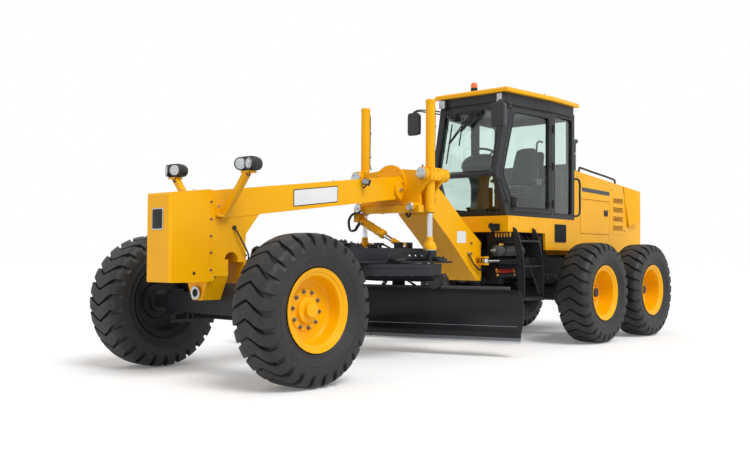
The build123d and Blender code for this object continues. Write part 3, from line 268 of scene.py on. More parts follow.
def add_node(tree, kind, settings=None, sockets=None):
    """One node with its settings. A socket takes a value or another node's output."""
    node = tree.nodes.new(kind)
    for name, value in (settings or {}).items():
        setattr(node, name, value)
    for name, value in (sockets or {}).items():
        if isinstance(value, bpy.types.NodeSocket):
            tree.links.new(value, node.inputs[name])
        else:
            node.inputs[name].default_value = value
    return node


def base_tree(name):
    material = bpy.data.materials.new(name)
    material.use_nodes = True
    tree = material.node_tree
    tree.nodes.clear()
    out = add_node(tree, "ShaderNodeOutputMaterial")
    coords = add_node(tree, "ShaderNodeNewGeometry")
    return material, tree, out, coords.outputs["Position"]


def ranged(tree, value, low, high, source=(0.3, 0.7)):
    """A noise value spread between two levels."""
    return add_node(tree, "ShaderNodeMapRange", None, {
        "Value": value, "From Min": source[0], "From Max": source[1], "To Min": low, "To Max": high}).outputs["Result"]


def mottle(tree, place, size_mm, detail=3.0, rough=0.5):
    return add_node(tree, "ShaderNodeTexNoise", None, {
        "Vector": place, "Scale": 1 / (size_mm * MM), "Detail": detail, "Roughness": rough}).outputs["Fac"]


def two_tone(tree, factor, first, second):
    mix = add_node(tree, "ShaderNodeMix", {"data_type": "RGBA"})
    tree.links.new(factor, mix.inputs["Factor"])
    for socket, colour in (("A", first), ("B", second)):
        target = [s for s in mix.inputs if s.name == socket and s.type == "RGBA"][0]
        if isinstance(colour, bpy.types.NodeSocket):
            tree.links.new(colour, target)
        else:
            target.default_value = colour
    return [s for s in mix.outputs if s.type == "RGBA"][0]


def shade(tree, out, settings):
    surface = add_node(tree, "ShaderNodeBsdfPrincipled", None, settings)
    tree.links.new(surface.outputs["BSDF"], out.inputs["Surface"])
    return surface


def relief(tree, height, strength, depth_mm, normal=None):
    sockets = {"Height": height, "Strength": strength, "Distance": depth_mm * MM}
    if normal is not None:
        sockets["Normal"] = normal
    return add_node(tree, "ShaderNodeBump", None, sockets).outputs["Normal"]


def sprayed_enamel(name, colour, shadow, rough=(0.32, 0.42), coat=0.05, edge_mm=5.0):
    """Two-pack enamel sprayed on steel: a soft gloss, a faint change of depth from coat to coat,
    fine orange peel, and edges that the paint rounds over."""
    material, tree, out, place = base_tree(name)
    depth = mottle(tree, place, 420, 4.0)
    tone = two_tone(tree, ranged(tree, depth, 0.0, 1.0), srgb(colour), srgb(shadow))
    peel = mottle(tree, place, 9, 2.0)
    edges = add_node(tree, "ShaderNodeBevel", {"samples": 4}, {"Radius": edge_mm * MM}).outputs["Normal"]
    shade(tree, out, {
        "Base Color": tone, "Roughness": ranged(tree, mottle(tree, place, 60), *rough), "IOR": 1.5,
        "Specular IOR Level": 0.22, "Coat Weight": coat, "Coat Roughness": 0.22,
        "Normal": relief(tree, peel, 0.06, 0.6, edges)})
    return material


def vulcanised_rubber(name, colour, bloom):
    """Moulded tyre rubber: dark, dull, with a grey bloom and a fine pebbled skin."""
    material, tree, out, place = base_tree(name)
    patches = mottle(tree, place, 130, 5.0, 0.6)
    tone = two_tone(tree, ranged(tree, patches, 0.0, 1.0, (0.35, 0.75)), srgb(colour), srgb(bloom))
    shade(tree, out, {
        "Base Color": tone, "Roughness": ranged(tree, mottle(tree, place, 45), 0.52, 0.68), "IOR": 1.52,
        "Normal": relief(tree, mottle(tree, place, 6, 3.0), 0.12, 0.8)})
    return material


def moulded_plastic(name, colour, rough=0.48, grain_mm=3.0):
    """Injection-moulded ABS or polypropylene: an even colour with a fine leather-like grain."""
    material, tree, out, place = base_tree(name)
    tone = two_tone(tree, mottle(tree, place, 80), srgb(colour), srgb(colour))
    shade(tree, out, {
        "Base Color": tone, "Roughness": ranged(tree, mottle(tree, place, 30), rough - 0.05, rough + 0.07),
        "IOR": 1.5, "Normal": relief(tree, mottle(tree, place, grain_mm, 2.0), 0.12, 0.4)})
    return material


def bare_metal(name, colour, rough, streak_mm=2.0, grain=(1.0, 1.0, 1.0)):
    """Plated or worked bare metal, with the fine marks its working leaves."""
    material, tree, out, place = base_tree(name)
    stretched = add_node(tree, "ShaderNodeVectorMath", {"operation": "MULTIPLY"},
                         {0: place, 1: grain}).outputs["Vector"]
    marks = mottle(tree, stretched, streak_mm, 2.0)
    tone = two_tone(tree, ranged(tree, mottle(tree, place, 70), 0.0, 1.0), srgb(colour), srgb(colour))
    shade(tree, out, {
        "Base Color": tone, "Metallic": 1.0, "Roughness": ranged(tree, marks, rough * 0.8, rough * 1.25),
        "Normal": relief(tree, marks, 0.05, 0.15)})
    return material


def cast_iron(name, colour, shadow):
    """Sand-cast iron under a thin paint: a rough, pebbled skin with darker patches at random."""
    material, tree, out, place = base_tree(name)
    grit = mottle(tree, place, 7, 4.0)
    tone = two_tone(tree, ranged(tree, mottle(tree, place, 60), 0.0, 1.0), srgb(colour), srgb(shadow))
    shade(tree, out, {
        "Base Color": tone, "Roughness": ranged(tree, grit, 0.5, 0.75), "IOR": 1.5,
        "Normal": relief(tree, grit, 0.3, 1.2)})
    return material


def laminated_glass(name, tint):
    """Laminated safety glass with a pale green tint: clear, glossy, a little wavy."""
    material, tree, out, place = base_tree(name)
    shade(tree, out, {
        "Base Color": srgb(tint), "Roughness": 0.0, "IOR": 1.45, "Transmission Weight": 1.0,
        "Normal": relief(tree, mottle(tree, place, 400, 1.0), 0.02, 1.0)})
    return material


def clear_lens(name, colour, through=0.9, glow=0.0):
    """Clear or coloured polycarbonate with moulded prisms behind it."""
    material, tree, out, place = base_tree(name)
    ribs = add_node(tree, "ShaderNodeTexWave", {"wave_type": "BANDS", "bands_direction": "DIAGONAL"},
                    {"Vector": place, "Scale": 30.0, "Distortion": 0.0}).outputs["Fac"]
    shade(tree, out, {
        "Base Color": srgb(colour), "Roughness": 0.08, "IOR": 1.58, "Transmission Weight": through,
        "Emission Color": srgb(colour), "Emission Strength": glow,
        "Normal": relief(tree, ribs, 0.15, 0.8)})
    return material


def woven_cloth(name, colour, thread):
    """Woven polyester seat cloth. The threads are 0.6 mm in life and drawn at 4 mm, so that they show."""
    material, tree, out, place = base_tree(name)
    warp = add_node(tree, "ShaderNodeTexWave", {"bands_direction": "Y"}, {
        "Vector": place, "Scale": 80.0, "Distortion": 0.4}).outputs["Fac"]
    weft = add_node(tree, "ShaderNodeTexWave", {"bands_direction": "X"}, {
        "Vector": place, "Scale": 80.0, "Distortion": 0.4}).outputs["Fac"]
    weave = add_node(tree, "ShaderNodeMath", {"operation": "MULTIPLY"}, {0: warp, 1: weft}).outputs["Value"]
    shade(tree, out, {
        "Base Color": two_tone(tree, weave, srgb(colour), srgb(thread)), "Roughness": 0.85, "IOR": 1.5,
        "Sheen Weight": 0.35, "Sheen Roughness": 0.5, "Normal": relief(tree, weave, 0.3, 0.8)})
    return material


FINISHES = {}


def make_finishes(colours):
    yellow = srgb
    FINISHES.update({
        "enamel": sprayed_enamel("yellow_enamel_on_steel", colours.yellow, colours.yellow_depth),
        "charcoal": sprayed_enamel("charcoal_satin_enamel", "#292B2F", "#222428", (0.36, 0.5), 0.04),
        "board": sprayed_enamel("blade_satin_enamel", "#1F2124", "#1A1C1E", (0.3, 0.44), 0.1, 3.0),
        "cab_grey": sprayed_enamel("dark_grey_powder_coat", "#36383B", "#303235", (0.42, 0.52), 0.02, 3.0),
        "plastic": moulded_plastic("black_moulded_abs", "#1D1F21"),
        "hose": moulded_plastic("black_nitrile_hose", "#141516", 0.5, 2.0),
        "red_hose": moulded_plastic("red_braided_hose", "#A8201C", 0.5, 3.0),
        "seal": moulded_plastic("black_epdm_seal", "#101112", 0.7, 2.0),
        "rubber": vulcanised_rubber("vulcanised_tyre_rubber", "#141516", "#1F2022"),
        "chrome": bare_metal("hard_chrome_plate", "#D6D9DC", 0.14),
        "zinc": bare_metal("zinc_plated_steel", "#B9BDC1", 0.34),
        "dark_zinc": bare_metal("olive_zinc_plated_nut", "#8A8272", 0.4),
        "brass": bare_metal("turned_brass", "#D2A648", 0.3),
        "edge": bare_metal("rolled_boron_steel", "#6F7276", 0.46, 3.0, (1.0, 1.0, 0.2)),
        "mirror": bare_metal("silvered_mirror", "#E8ECEE", 0.03),
        "iron": cast_iron("painted_cast_iron", "#4A4C4E", "#35373A"),
        "glass": laminated_glass("tinted_laminated_glass", "#E6F3EE"),
        "lens": clear_lens("clear_polycarbonate_lens", "#F4F7F8", 0.75),
        "amber": clear_lens("amber_polycarbonate_lens", "#F07A12", 0.35, 0.12),
        "red_lens": clear_lens("red_polycarbonate_lens", "#B5121B", 0.3, 0.05),
        "cloth": woven_cloth("woven_seat_cloth", "#1F2124", "#3A3D42"),
        "plate": sprayed_enamel("blank_white_enamelled_plate", "#E9EAEA", "#DDDFE0", (0.3, 0.4), 0.2, 1.0),
        "dark_plate": sprayed_enamel("blank_grey_enamelled_plate", "#3B3E42", "#33363A", (0.32, 0.42), 0.2, 1.0),
    })


SLOT_FINISH = {
    "yellow_paint": "enamel", "charcoal_paint": "charcoal", "dark_grey_paint": "cab_grey",
    "black_plastic": "plastic", "tyre_rubber": "rubber", "chrome_rod": "chrome", "tinted_glass": "glass",
    "cast_iron": "iron", "edge_steel": "edge", "seat_fabric": "cloth", "amber_lens": "amber",
}
NODE_FINISH = {"moldboard": "board", "exhaust_stack": "iron"}


def finish_cad_nodes():
    """Every CAD node takes the finish that its slot in the record names."""
    slots = {}
    for part in frame["record"]["subparts"]:
        slots[part.get("node") or part.get("name")] = part.get("material_slot")
    for name, piece in frame["nodes"].items():
        finish = NODE_FINISH.get(name) or SLOT_FINISH[slots[name]]
        piece.data.materials.clear()
        piece.data.materials.append(FINISHES[finish])


# ---- settings a user would change ----

def length(name, text, default):
    return bpy.props.FloatProperty(name=name, description=text, default=default, unit="LENGTH", precision=4)


class GraderColours(bpy.types.PropertyGroup):
    yellow: bpy.props.StringProperty(name="Yellow", description="sRGB hex of the body paint", default="#F5B200")
    yellow_depth: bpy.props.StringProperty(
        name="Yellow in depth", description="sRGB hex where the paint lies thicker", default="#F0AB00")


class GraderTyres(bpy.types.PropertyGroup):
    lugs: bpy.props.IntProperty(name="Lugs", description="Number of lugs round a tyre", default=27, min=12, max=60)
    groove: length("Groove depth", "Depth of the tread between two lugs", 0.034)
    groove_middle: length("Groove at the middle", "Width of the groove on the crown", 0.026)
    groove_side: length("Groove at the side", "Width of the groove at the shoulder", 0.050)
    nuts: bpy.props.IntProperty(name="Wheel nuts", description="Nuts on a wheel", default=10, min=4, max=20)


class GraderStage(bpy.types.PropertyGroup):
    sky: bpy.props.FloatProperty(name="Sky level", description="Light from all round", default=0.6, min=0.0)
    key: bpy.props.FloatProperty(name="Key level", description="Light from the high left", default=2.0, min=0.0)
    fill: bpy.props.FloatProperty(name="Fill level", description="Light from the low right", default=0.08, min=0.0)
    lens: bpy.props.FloatProperty(name="Lens", description="Focal length of the camera", default=41.56, unit="CAMERA")


# ---- stage ----

CAMERA_PLACE = (9044.1, 6473.7, 1140.1)
CAMERA_YAW = math.radians(-139.249)
CAMERA_PITCH = math.radians(1.395)
CAMERA_ROLL = 0.0064


def white_to_view(tree):
    """1 where a camera, glossy or clear ray meets it, and 0 for light."""
    path = add_node(tree, "ShaderNodeLightPath")
    first = add_node(tree, "ShaderNodeMath", {"operation": "MAXIMUM"}, {
        0: path.outputs["Is Camera Ray"], 1: path.outputs["Is Glossy Ray"]}).outputs["Value"]
    return add_node(tree, "ShaderNodeMath", {"operation": "MAXIMUM"}, {
        0: first, 1: path.outputs["Is Transmission Ray"]}).outputs["Value"]


def make_world(level):
    world = bpy.context.scene.world or bpy.data.worlds.new("studio")
    bpy.context.scene.world = world
    world.use_nodes = True
    tree = world.node_tree
    tree.nodes.clear()
    out = add_node(tree, "ShaderNodeOutputWorld")
    seen = white_to_view(tree)
    strength = add_node(tree, "ShaderNodeMapRange", None, {
        "Value": seen, "From Min": 0.0, "From Max": 1.0, "To Min": level, "To Max": 1.0}).outputs["Result"]
    light = add_node(tree, "ShaderNodeBackground", None, {"Color": (1, 1, 1, 1), "Strength": strength})
    tree.links.new(light.outputs["Background"], out.inputs["Surface"])


def make_floor():
    """A pale painted floor that keeps the machine's shadow and is white where nothing shades it."""
    material, tree, out, place = base_tree("pale_studio_floor")
    bare = add_node(tree, "ShaderNodeBsdfDiffuse", None, {"Color": srgb("#F2F2F2")})
    seen = white_to_view(tree)
    lift = add_node(tree, "ShaderNodeMath", {"operation": "MULTIPLY"}, {0: seen, 1: 0.13}).outputs["Value"]
    glow = add_node(tree, "ShaderNodeEmission", None, {"Color": (1, 1, 1, 1), "Strength": lift})
    both = add_node(tree, "ShaderNodeAddShader")
    tree.links.new(bare.outputs["BSDF"], both.inputs[0])
    tree.links.new(glow.outputs["Emission"], both.inputs[1])
    tree.links.new(both.outputs["Shader"], out.inputs["Surface"])
    bm = new_drawing()
    reach = 120000
    bm.faces.new([bm.verts.new((x, y, -1)) for x, y in ((-reach, -reach), (reach, -reach), (reach, reach), (-reach, reach))])
    floor = smooth_mesh("studio_floor", bm)
    floor.data.materials.append(material)


def make_lamp(name, strength, yaw, pitch, spread):
    light = bpy.data.lights.new(name, "SUN")
    light.energy = strength
    light.angle = math.radians(spread)
    lamp = bpy.data.objects.new(name, light)
    bpy.context.scene.collection.objects.link(lamp)
    lamp.rotation_euler = (math.radians(90 - pitch), 0, math.radians(yaw))


def make_camera(lens):
    data = bpy.data.cameras.new("studio_camera")
    data.lens = lens
    data.sensor_width = 36.0
    data.clip_end = 500.0
    camera = bpy.data.objects.new("studio_camera", data)
    bpy.context.scene.collection.objects.link(camera)
    flat = math.cos(CAMERA_PITCH)
    ahead = Vector((math.cos(CAMERA_YAW) * flat, math.sin(CAMERA_YAW) * flat, math.sin(CAMERA_PITCH)))
    right = ahead.cross(Vector((0, 0, 1))).normalized()
    up = right.cross(ahead)
    turned = right * math.cos(CAMERA_ROLL) + up * math.sin(CAMERA_ROLL)
    upright = up * math.cos(CAMERA_ROLL) - right * math.sin(CAMERA_ROLL)
    turn = Matrix((turned, upright, -ahead)).transposed().to_4x4()
    camera.matrix_world = Matrix.Translation(Vector(CAMERA_PLACE) * MM) @ turn
    bpy.context.scene.camera = camera


class GRADER_OT_stage(bpy.types.Operator):
    """Floor, studio light and camera"""
    bl_idname = "grader.stage"
    bl_label = "Stage"

    def execute(self, context):
        stage = context.scene.grader_stage
        context.scene.view_settings.view_transform = "Standard"
        make_world(stage.sky)
        make_floor()
        make_lamp("key_lamp", stage.key, 168.0, 50.0, 30.0)
        make_lamp("fill_lamp", stage.fill, 80.0, 25.0, 60.0)
        make_camera(stage.lens)
        return {"FINISHED"}


class GRADER_OT_finishes(bpy.types.Operator):
    """Materials for every CAD node"""
    bl_idname = "grader.finishes"
    bl_label = "Finishes"

    def execute(self, context):
        make_finishes(context.scene.grader_colours)
        finish_cad_nodes()
        return {"FINISHED"}


# ---- wheels ----

def tyre_profile():
    """Rows across the tyre: (radius, distance out, how deep the groove is there, how far round the chevron runs)."""
    rows = []
    crown = [(0.0, 670.0), (30.0, 670.0), (70.0, 669.5), (110.0, 668.0), (146.0, 664.0), (172.0, 656.5), (190.0, 646.0)]
    deep = [1.0, 1.0, 1.0, 1.0, 1.0, 0.96, 0.9]
    side = [(204.0, 628.0, 0.9), (212.0, 606.0, 0.8), (217.0, 584.0, 0.6), (220.0, 566.0, 0.3), (222.0, 545.0, 0.0),
            (222.0, 520.0, 0.0), (220.0, 497.0, 0.0), (217.0, 484.0, 0.0), (219.5, 480.0, 0.0), (219.0, 472.0, 0.0),
            (214.0, 468.0, 0.0), (206.0, 447.0, 0.0), (193.0, 420.0, 0.0), (184.0, 403.0, 0.0), (187.0, 396.0, 0.0),
            (182.0, 386.0, 0.0), (172.0, 374.0, 0.0), (166.0, 366.0, 0.0)]
    half = [(out, radius, share) for (out, radius), share in zip(crown, deep)] + side
    for out, radius, share in reversed(half[1:]):
        rows.append((radius, -out, share))
    for out, radius, share in half:
        rows.append((radius, out, share))
    return rows


CHEVRON = ((-222.0, 0.52), (-170.0, 0.49), (-95.0, 0.29), (-14.0, 0.02), (0.0, 0.0), (16.0, 0.03), (110.0, 0.40),
           (165.0, 0.55), (222.0, 0.60))


def chevron_at(out):
    """Share of a pitch that the groove has moved round at a distance from the tyre's middle."""
    for (y0, s0), (y1, s1) in zip(CHEVRON, CHEVRON[1:]):
        if y0 <= out <= y1:
            return s0 + (s1 - s0) * (out - y0) / (y1 - y0)
    return CHEVRON[0][1] if out < 0 else CHEVRON[-1][1]


def draw_tyre(bm, centre, side, settings):
    """A carcass with chevron lugs, drawn in columns that follow the grooves, so that their edges are crisp."""
    rows = tyre_profile()
    pitch = 2 * math.pi / settings.lugs
    depth = settings.groove / MM
    lanes = ("floor_a", "floor_b", "wall_b", "land_1", "land_2", "land_3", "wall_a")
    grid = []
    for radius, out, share in rows:
        width = (settings.groove_middle + (settings.groove_side - settings.groove_middle)
                 * min(1.0, max(0.0, (abs(out) - 60) / 120))) / MM
        round_share = width / (radius * pitch)
        wall = 5.0 / (radius * pitch)
        places = (wall, round_share - wall, round_share, round_share + 0.25 * (1 - round_share),
                  round_share + 0.5 * (1 - round_share), round_share + 0.75 * (1 - round_share), 1.0)
        places = (wall, round_share - wall) + places[2:]
        ring = []
        for lug in range(settings.lugs):
            for lane, share_round in zip(lanes, places):
                angle = (lug + share_round + chevron_at(out)) * pitch
                sunk = depth * share if lane.startswith("floor") else 0.0
                lean = math.radians(75 * min(1.0, max(0.0, (abs(out) - 150) / 62)))
                r = radius - sunk * math.cos(lean)
                inward = out - math.copysign(sunk * math.sin(lean), out)
                ring.append(bm.verts.new((centre.x + r * math.sin(angle) * side,
                                          centre.y + side * inward, centre.z + r * math.cos(angle))))
        grid.append(ring)
    skin(bm, grid, cap=False)
    inner = []
    for radius, out in ((356.0, 158.0), (343.0, 146.0), (343.0, -146.0), (356.0, -158.0)):
        inner.append([bm.verts.new((centre.x + radius * math.sin(2 * math.pi * i / len(grid[0])) * side,
                                    centre.y + side * out, centre.z + radius * math.cos(2 * math.pi * i / len(grid[0]))))
                      for i in range(len(grid[0]))])
    start = round(chevron_at(222.0) * pitch / (2 * math.pi) * len(grid[0]))
    end = round(chevron_at(-222.0) * pitch / (2 * math.pi) * len(grid[0]))
    inner[0] = inner[0][start:] + inner[0][:start]
    inner[1] = inner[1][start:] + inner[1][:start]
    inner[2] = inner[2][start:] + inner[2][:start]
    inner[3] = inner[3][start:] + inner[3][:start]
    skin(bm, [grid[-1]] + inner, cap=False)
    shift = start - end
    last = inner[3][-shift:] + inner[3][:-shift] if shift else inner[3]
    skin(bm, [last, grid[0]], cap=False)


def draw_rim(bm, centre, side, nuts, deep):
    """A deep-dish wheel with a rolled lip, lock ring, disc, hub, cap, nuts and valve."""
    axis = (0, side, 0)
    dish = [(0, 134), (56, 134), (64, 131), (69, 124), (70, 96), (74, 88), (96, 84), (112, 80), (118, 72), (120, 52),
            (128, 46), (182, 44), (186, 36), (190, 35), (246, 35), (268, 38), (282, 50), (290, 72), (295, 100),
            (298, 146), (301, 152), (307, 156), (326, 160), (331, 164), (334, 171), (340, 174), (352, 177), (358, 182),
            (363, 185), (367, 183), (367, 178), (362, 172), (350, 166), (338, 158), (322, 148), (317, 130), (314, 0)]
    dish = [(r, a - deep if r < 292 else a) for r, a in dish]
    lathe(bm, dish, centre, axis, 96, cap=False)
    # painted shade: the inboard half of the wheel (barrel, disc back and hub back) takes the dark charcoal finish
    back = [(314, 0), (317, -130), (322, -148), (338, -158), (350, -166), (362, -172), (367, -178), (367, -183),
            (363, -185), (354, -181), (340, -172), (324, -164), (308, -156), (300, -140), (298, -20), (290, 0), (272, 10),
            (186, 10), (180, 4), (176, -8), (120, -14), (114, -26), (112, -52), (64, -54), (61, -50), (61, -20)]
    back = [(r, a - deep if r < 299 else a) for r, a in back]
    lathe(bm, back, centre, axis, 96, index=3, cap=False)
    centre = Vector(centre)
    for k in range(nuts):
        angle = 2 * math.pi * (k + 0.3) / nuts
        place = centre + Vector((161 * math.sin(angle), side * (44 - deep), 161 * math.cos(angle)))
        hex_bolt(bm, place, axis, 27, index=1, turn=angle)
        rod(bm, place + Vector((0, side * 14, 0)), place + Vector((0, side * 30, 0)), 8, 12, index=1)
    valve = centre + Vector((280 * math.sin(2.2), side * (52 - deep), 280 * math.cos(2.2)))
    tube_along(bm, [valve, valve + Vector((0, side * 30, 0)), valve + Vector((8, side * 62, 10))], 4.5, 8, index=2)


class GRADER_OT_wheels(bpy.types.Operator):
    """Six tyres with chevron tread and their deep-dish wheels"""
    bl_idname = "grader.wheels"
    bl_label = "Wheels"

    def execute(self, context):
        settings = context.scene.grader_tyres
        for name in WHEELS:
            side = LEFT if name.endswith("left") else RIGHT
            centre = middle("tyre_" + name)
            bm = new_drawing()
            draw_tyre(bm, centre, side, settings)
            finish_piece("tyre_with_lugs_" + name, bm, FINISHES["rubber"], "wheel_" + name,
                         ("tyre_" + name,), 28.0)
            bm = new_drawing()
            draw_rim(bm, centre, side, settings.nuts, 20.0 if name.startswith("front") else 105.0)
            # the fourth finish, charcoal, is painted shade on the wheel's inboard half
            finish_piece("dished_wheel_" + name, bm, [FINISHES["enamel"], FINISHES["dark_zinc"], FINISHES["seal"], FINISHES["charcoal"]],
                         "wheel_" + name, ("rim_" + name,))
        return {"FINISHED"}


# ---- front frame: nose, leg, beam and its lamps ----

ENAMEL_SET = ("enamel", "zinc", "seal", "charcoal", "plastic", "dark_plate", "plate", "chrome", "lens", "amber", "hose",
              "red_hose", "brass", "dark_zinc", "iron", "red_lens", "board")
ENAMEL, ZINC, SEAL, CHARCOAL, PLASTIC, DARK_PLATE, PLATE, CHROME, LENS, AMBER, HOSE, RED_HOSE, BRASS, DARK_ZINC, IRON, \
    RED_LENS, BOARD = range(len(ENAMEL_SET))


def make(name, bm, body, replaces=(), angle=32.0):
    """A piece with the whole set of finishes: the faces' material index picks one."""
    piece = finish_piece(name, bm, [FINISHES[key] for key in ENAMEL_SET], body, replaces, angle)
    before = [face.material_index for face in piece.data.polygons]
    used = sorted(set(before))
    piece.data.materials.clear()
    for old in used:
        piece.data.materials.append(FINISHES[ENAMEL_SET[old]])
    place = {old: new for new, old in enumerate(used)}
    piece.data.polygons.foreach_set("material_index", [place[old] for old in before])
    return piece


def beam_side(back, up):
    """Height of a line on the sloping beam, that far behind the front axle and above the beam's lower edge."""
    return 1466 + (back + 300) * math.tan(math.radians(7.0)) + up


def panel(bm, corners, y, out, thick, index, edge=1.5):
    """A flat plate on a side of the machine from its corners (x, z)."""
    rings = []
    mx = sum(c[0] for c in corners) / len(corners)
    mz = sum(c[1] for c in corners) / len(corners)
    for inset, along in ((0, 0), (0, thick - edge), (edge, thick)):
        ring = []
        for x, z in corners:
            pull = inset / max(math.hypot(x - mx, z - mz), 1e-6)
            ring.append((x - (x - mx) * pull, y + out * along, z - (z - mz) * pull))
        rings.append(ring_of(bm, ring))
    return skin(bm, rings, index=index)


def round_corners(corners, radius, steps=3):
    """Corners of a polygon, each cut to a small arc."""
    out = []
    count = len(corners)
    for i in range(count):
        here = Vector(corners[i])
        before = (Vector(corners[i - 1]) - here)
        after = (Vector(corners[(i + 1) % count]) - here)
        reach = min(radius, before.length / 2, after.length / 2)
        a = here + before.normalized() * reach
        b = here + after.normalized() * reach
        for k in range(steps + 1):
            t = k / steps
            out.append(tuple(a * (1 - t) ** 2 + here * 2 * t * (1 - t) + b * t ** 2))
    return out


def draw_front_trim(bm):
    x_nose = NOSE_LOW.x
    for side in SIDES:
        y = side * 175.5
        strip = round_corners([(x_nose + 2, 899), (x_nose + 2, 1738), (x_nose - 26, 1738), (x_nose - 26, 899)], 3)
        panel(bm, strip, y, side, 4, ENAMEL)
        for z in (1627, 1470, 1316, 1163, 1006):
            hex_bolt(bm, (x_nose - 12, y + side * 4, z), (0, side, 0), 17, DARK_ZINC)
        seam = [(AXLE.x - back, side * 175.5, beam_side(back, 1)) for back in (-290, -100, 100, 292)]
        tube_along(bm, seam, 4.5, 8, ENAMEL, 2)
        rod(bm, (AXLE.x + 29, side * 172, 1397), (AXLE.x + 29, side * 186, 1397), 22, 24, SEAL)
        hose = [(AXLE.x + 29, side * 180, 1397), (AXLE.x + 6, side * 200, 1350), (AXLE.x - 70, side * 214, 1225),
                (AXLE.x - 118, side * 210, 1150), (AXLE.x - 132, side * 190, 1090), (AXLE.x - 120, side * 150, 1052)]
        tube_along(bm, hose, 8, 10, HOSE)
        # blank plate along the beam, with a dark rim
        for grow, thick, index in ((0, 2.5, SEAL), (-9, 4.0, PLATE)):
            front, rear = 735 - grow, 1385 + grow
            low, high = 38 - grow, 212 + grow
            plate = [(AXLE.x - front, beam_side(front, low)), (AXLE.x - front, beam_side(front, high)),
                     (AXLE.x - rear, beam_side(rear, high)), (AXLE.x - rear, beam_side(rear, low))]
            panel(bm, round_corners(plate, 14), side * 175, side, thick, index)
        for x, z in ((AXLE.x - 120, 1140), (AXLE.x + 250, 940)):
            hex_bolt(bm, (x, y, z), (0, side, 0), 15, DARK_ZINC)
    ring = [(40, -2), (62, -2), (64, 0), (64, 8), (60, 12), (44, 12), (38, 10), (38, 0)]
    lathe(bm, ring, (x_nose + 15, 0, 791), (1, 0, 0), 32, ZINC, closed=True)
    lathe(bm, [(36, -4), (37, 8), (30, 14), (12, 15), (11, 8), (0, 8)], (x_nose + 15, 0, 791), (1, 0, 0), 24, SEAL)
    for y, z in ((-120, 1000), (120, 1000), (0, 1000)):
        hex_bolt(bm, (x_nose - 60, y, 893), (0, 0, -1), 22, DARK_ZINC)


def draw_nose_trim(bm):
    front = NOSE_HIGH.x
    plate = rounded(82, 97, 20)
    slab(bm, [(p[0] * 1.0, p[1]) for p in plate], (front - 1, 0, 1458), (1, 0, 0), 7, 2.5, ZINC)
    slab(bm, rounded(72, 87, 14), (front + 5, 0, 1458), (1, 0, 0), 3, 1, SEAL)
    for side in SIDES:
        lathe(bm, [(0.1, 0), (16, 0), (16, 1.2), (12, 1.4), (11, -3), (0.1, -3)], (4218, side * 176, 975), (0, side, 0), 24,
              DARK_ZINC)
    for x, y in ((4160, 90), (4160, -90)):
        lathe(bm, [(0.1, 0), (17, 0), (17, 3), (14, 4), (0.1, 4)], (x, y, 1733), (0.12, 0, 1), 20, DARK_ZINC)


def lamp_unit(bm, centre, yaw, radius):
    """A round lamp turned by that much from straight ahead: bezel, bright dish, bulb and lens."""
    axis = Vector((math.cos(yaw), math.sin(yaw), 0))
    bezel = [(radius * 0.8, -46), (radius * 0.98, -20), (radius + 6, 0), (radius + 7, 10), (radius + 4, 16), (radius, 18),
             (radius - 3, 14), (radius - 4, 6)]
    lathe(bm, bezel, centre, axis, 40, PLASTIC)
    dish = [(radius - 4, 8), (radius * 0.86, 2), (radius * 0.66, -10), (radius * 0.42, -20), (radius * 0.2, -25), (9, -26)]
    lathe(bm, dish, centre, axis, 40, CHROME)
    lathe(bm, [(9, -26), (10, -6), (7, 0), (0, 2)], centre, axis, 16, LENS)
    lathe(bm, [(radius - 2, 10), (radius - 3, 12), (radius * 0.7, 18), (radius * 0.35, 21), (0, 22)], centre, axis, 40, LENS)


def draw_headlamps(bm):
    x = AXLE.x + 179
    for side in SIDES:
        y = side * 544
        root = side * 175
        foot = Vector((x, root + side * 32, 1500))
        head = Vector((x, y - side * 16, 1885))
        turn = frame_for(head - foot, (1, 0, 0))
        rings = []
        for place in (foot, head):
            rings.append(ring_of(bm, [place + turn @ Vector((px, py, 0)) for px, py in rounded(30, 30, 8)]))
        skin(bm, rings, index=ENAMEL)
        slab(bm, rounded(70, 34, 8), (x, root + side * 33, 1490), (0, 0, 1), 20, 3, ENAMEL, up=(0, 1, 0))
        panel(bm, round_corners([(x - 70, 1490), (x - 70, 1612), (x + 70, 1612), (x + 70, 1490)], 8), root, side, 14, ENAMEL)
        for bx in (x - 52, x + 52):
            hex_bolt(bm, (bx, root + side * 14, 1590), (0, side, 0), 16, ZINC)
            hex_bolt(bm, (bx, root + side * 44, 1510), (0, 0, 1), 16, ZINC)
        slab(bm, rounded(48, 62, 10), (x - 2, y, 1880), (0, 0, 1), 16, 3, ENAMEL, up=(0, 1, 0))
        loop = [(x + 40, y + 46 + 22 * math.cos(a), 1868 + 22 * math.sin(a)) for a in
                [math.radians(d) for d in range(20, 341, 40)]]
        tube_along(bm, loop, 5, 8, PLASTIC, 3)
        rings = []
        for back, wide, high in ((30, 0.92, 0.92), (20, 0.99, 0.99), (0, 1.0, 1.0), (-40, 0.97, 0.96), (-78, 0.84, 0.84),
                                 (-100, 0.66, 0.68), (-110, 0.42, 0.46)):
            rings.append(ring_of(bm, [(x + back, y + px * wide, 1963 + pz * high) for px, pz in rounded(120, 67, 66, 8)]))
        skin(bm, rings, index=PLASTIC)
        inner_yaw, outer_yaw = (0.62, -0.06) if side > 0 else (0.55, -0.42)
        lamp_unit(bm, (x + 42, y - side * 56, 1963), inner_yaw, 54)
        lamp_unit(bm, (x + 38, y + side * 58, 1963), outer_yaw, 52)
        rod(bm, (x, y, 1894), (x, y, 1900), 16, 16, ZINC)


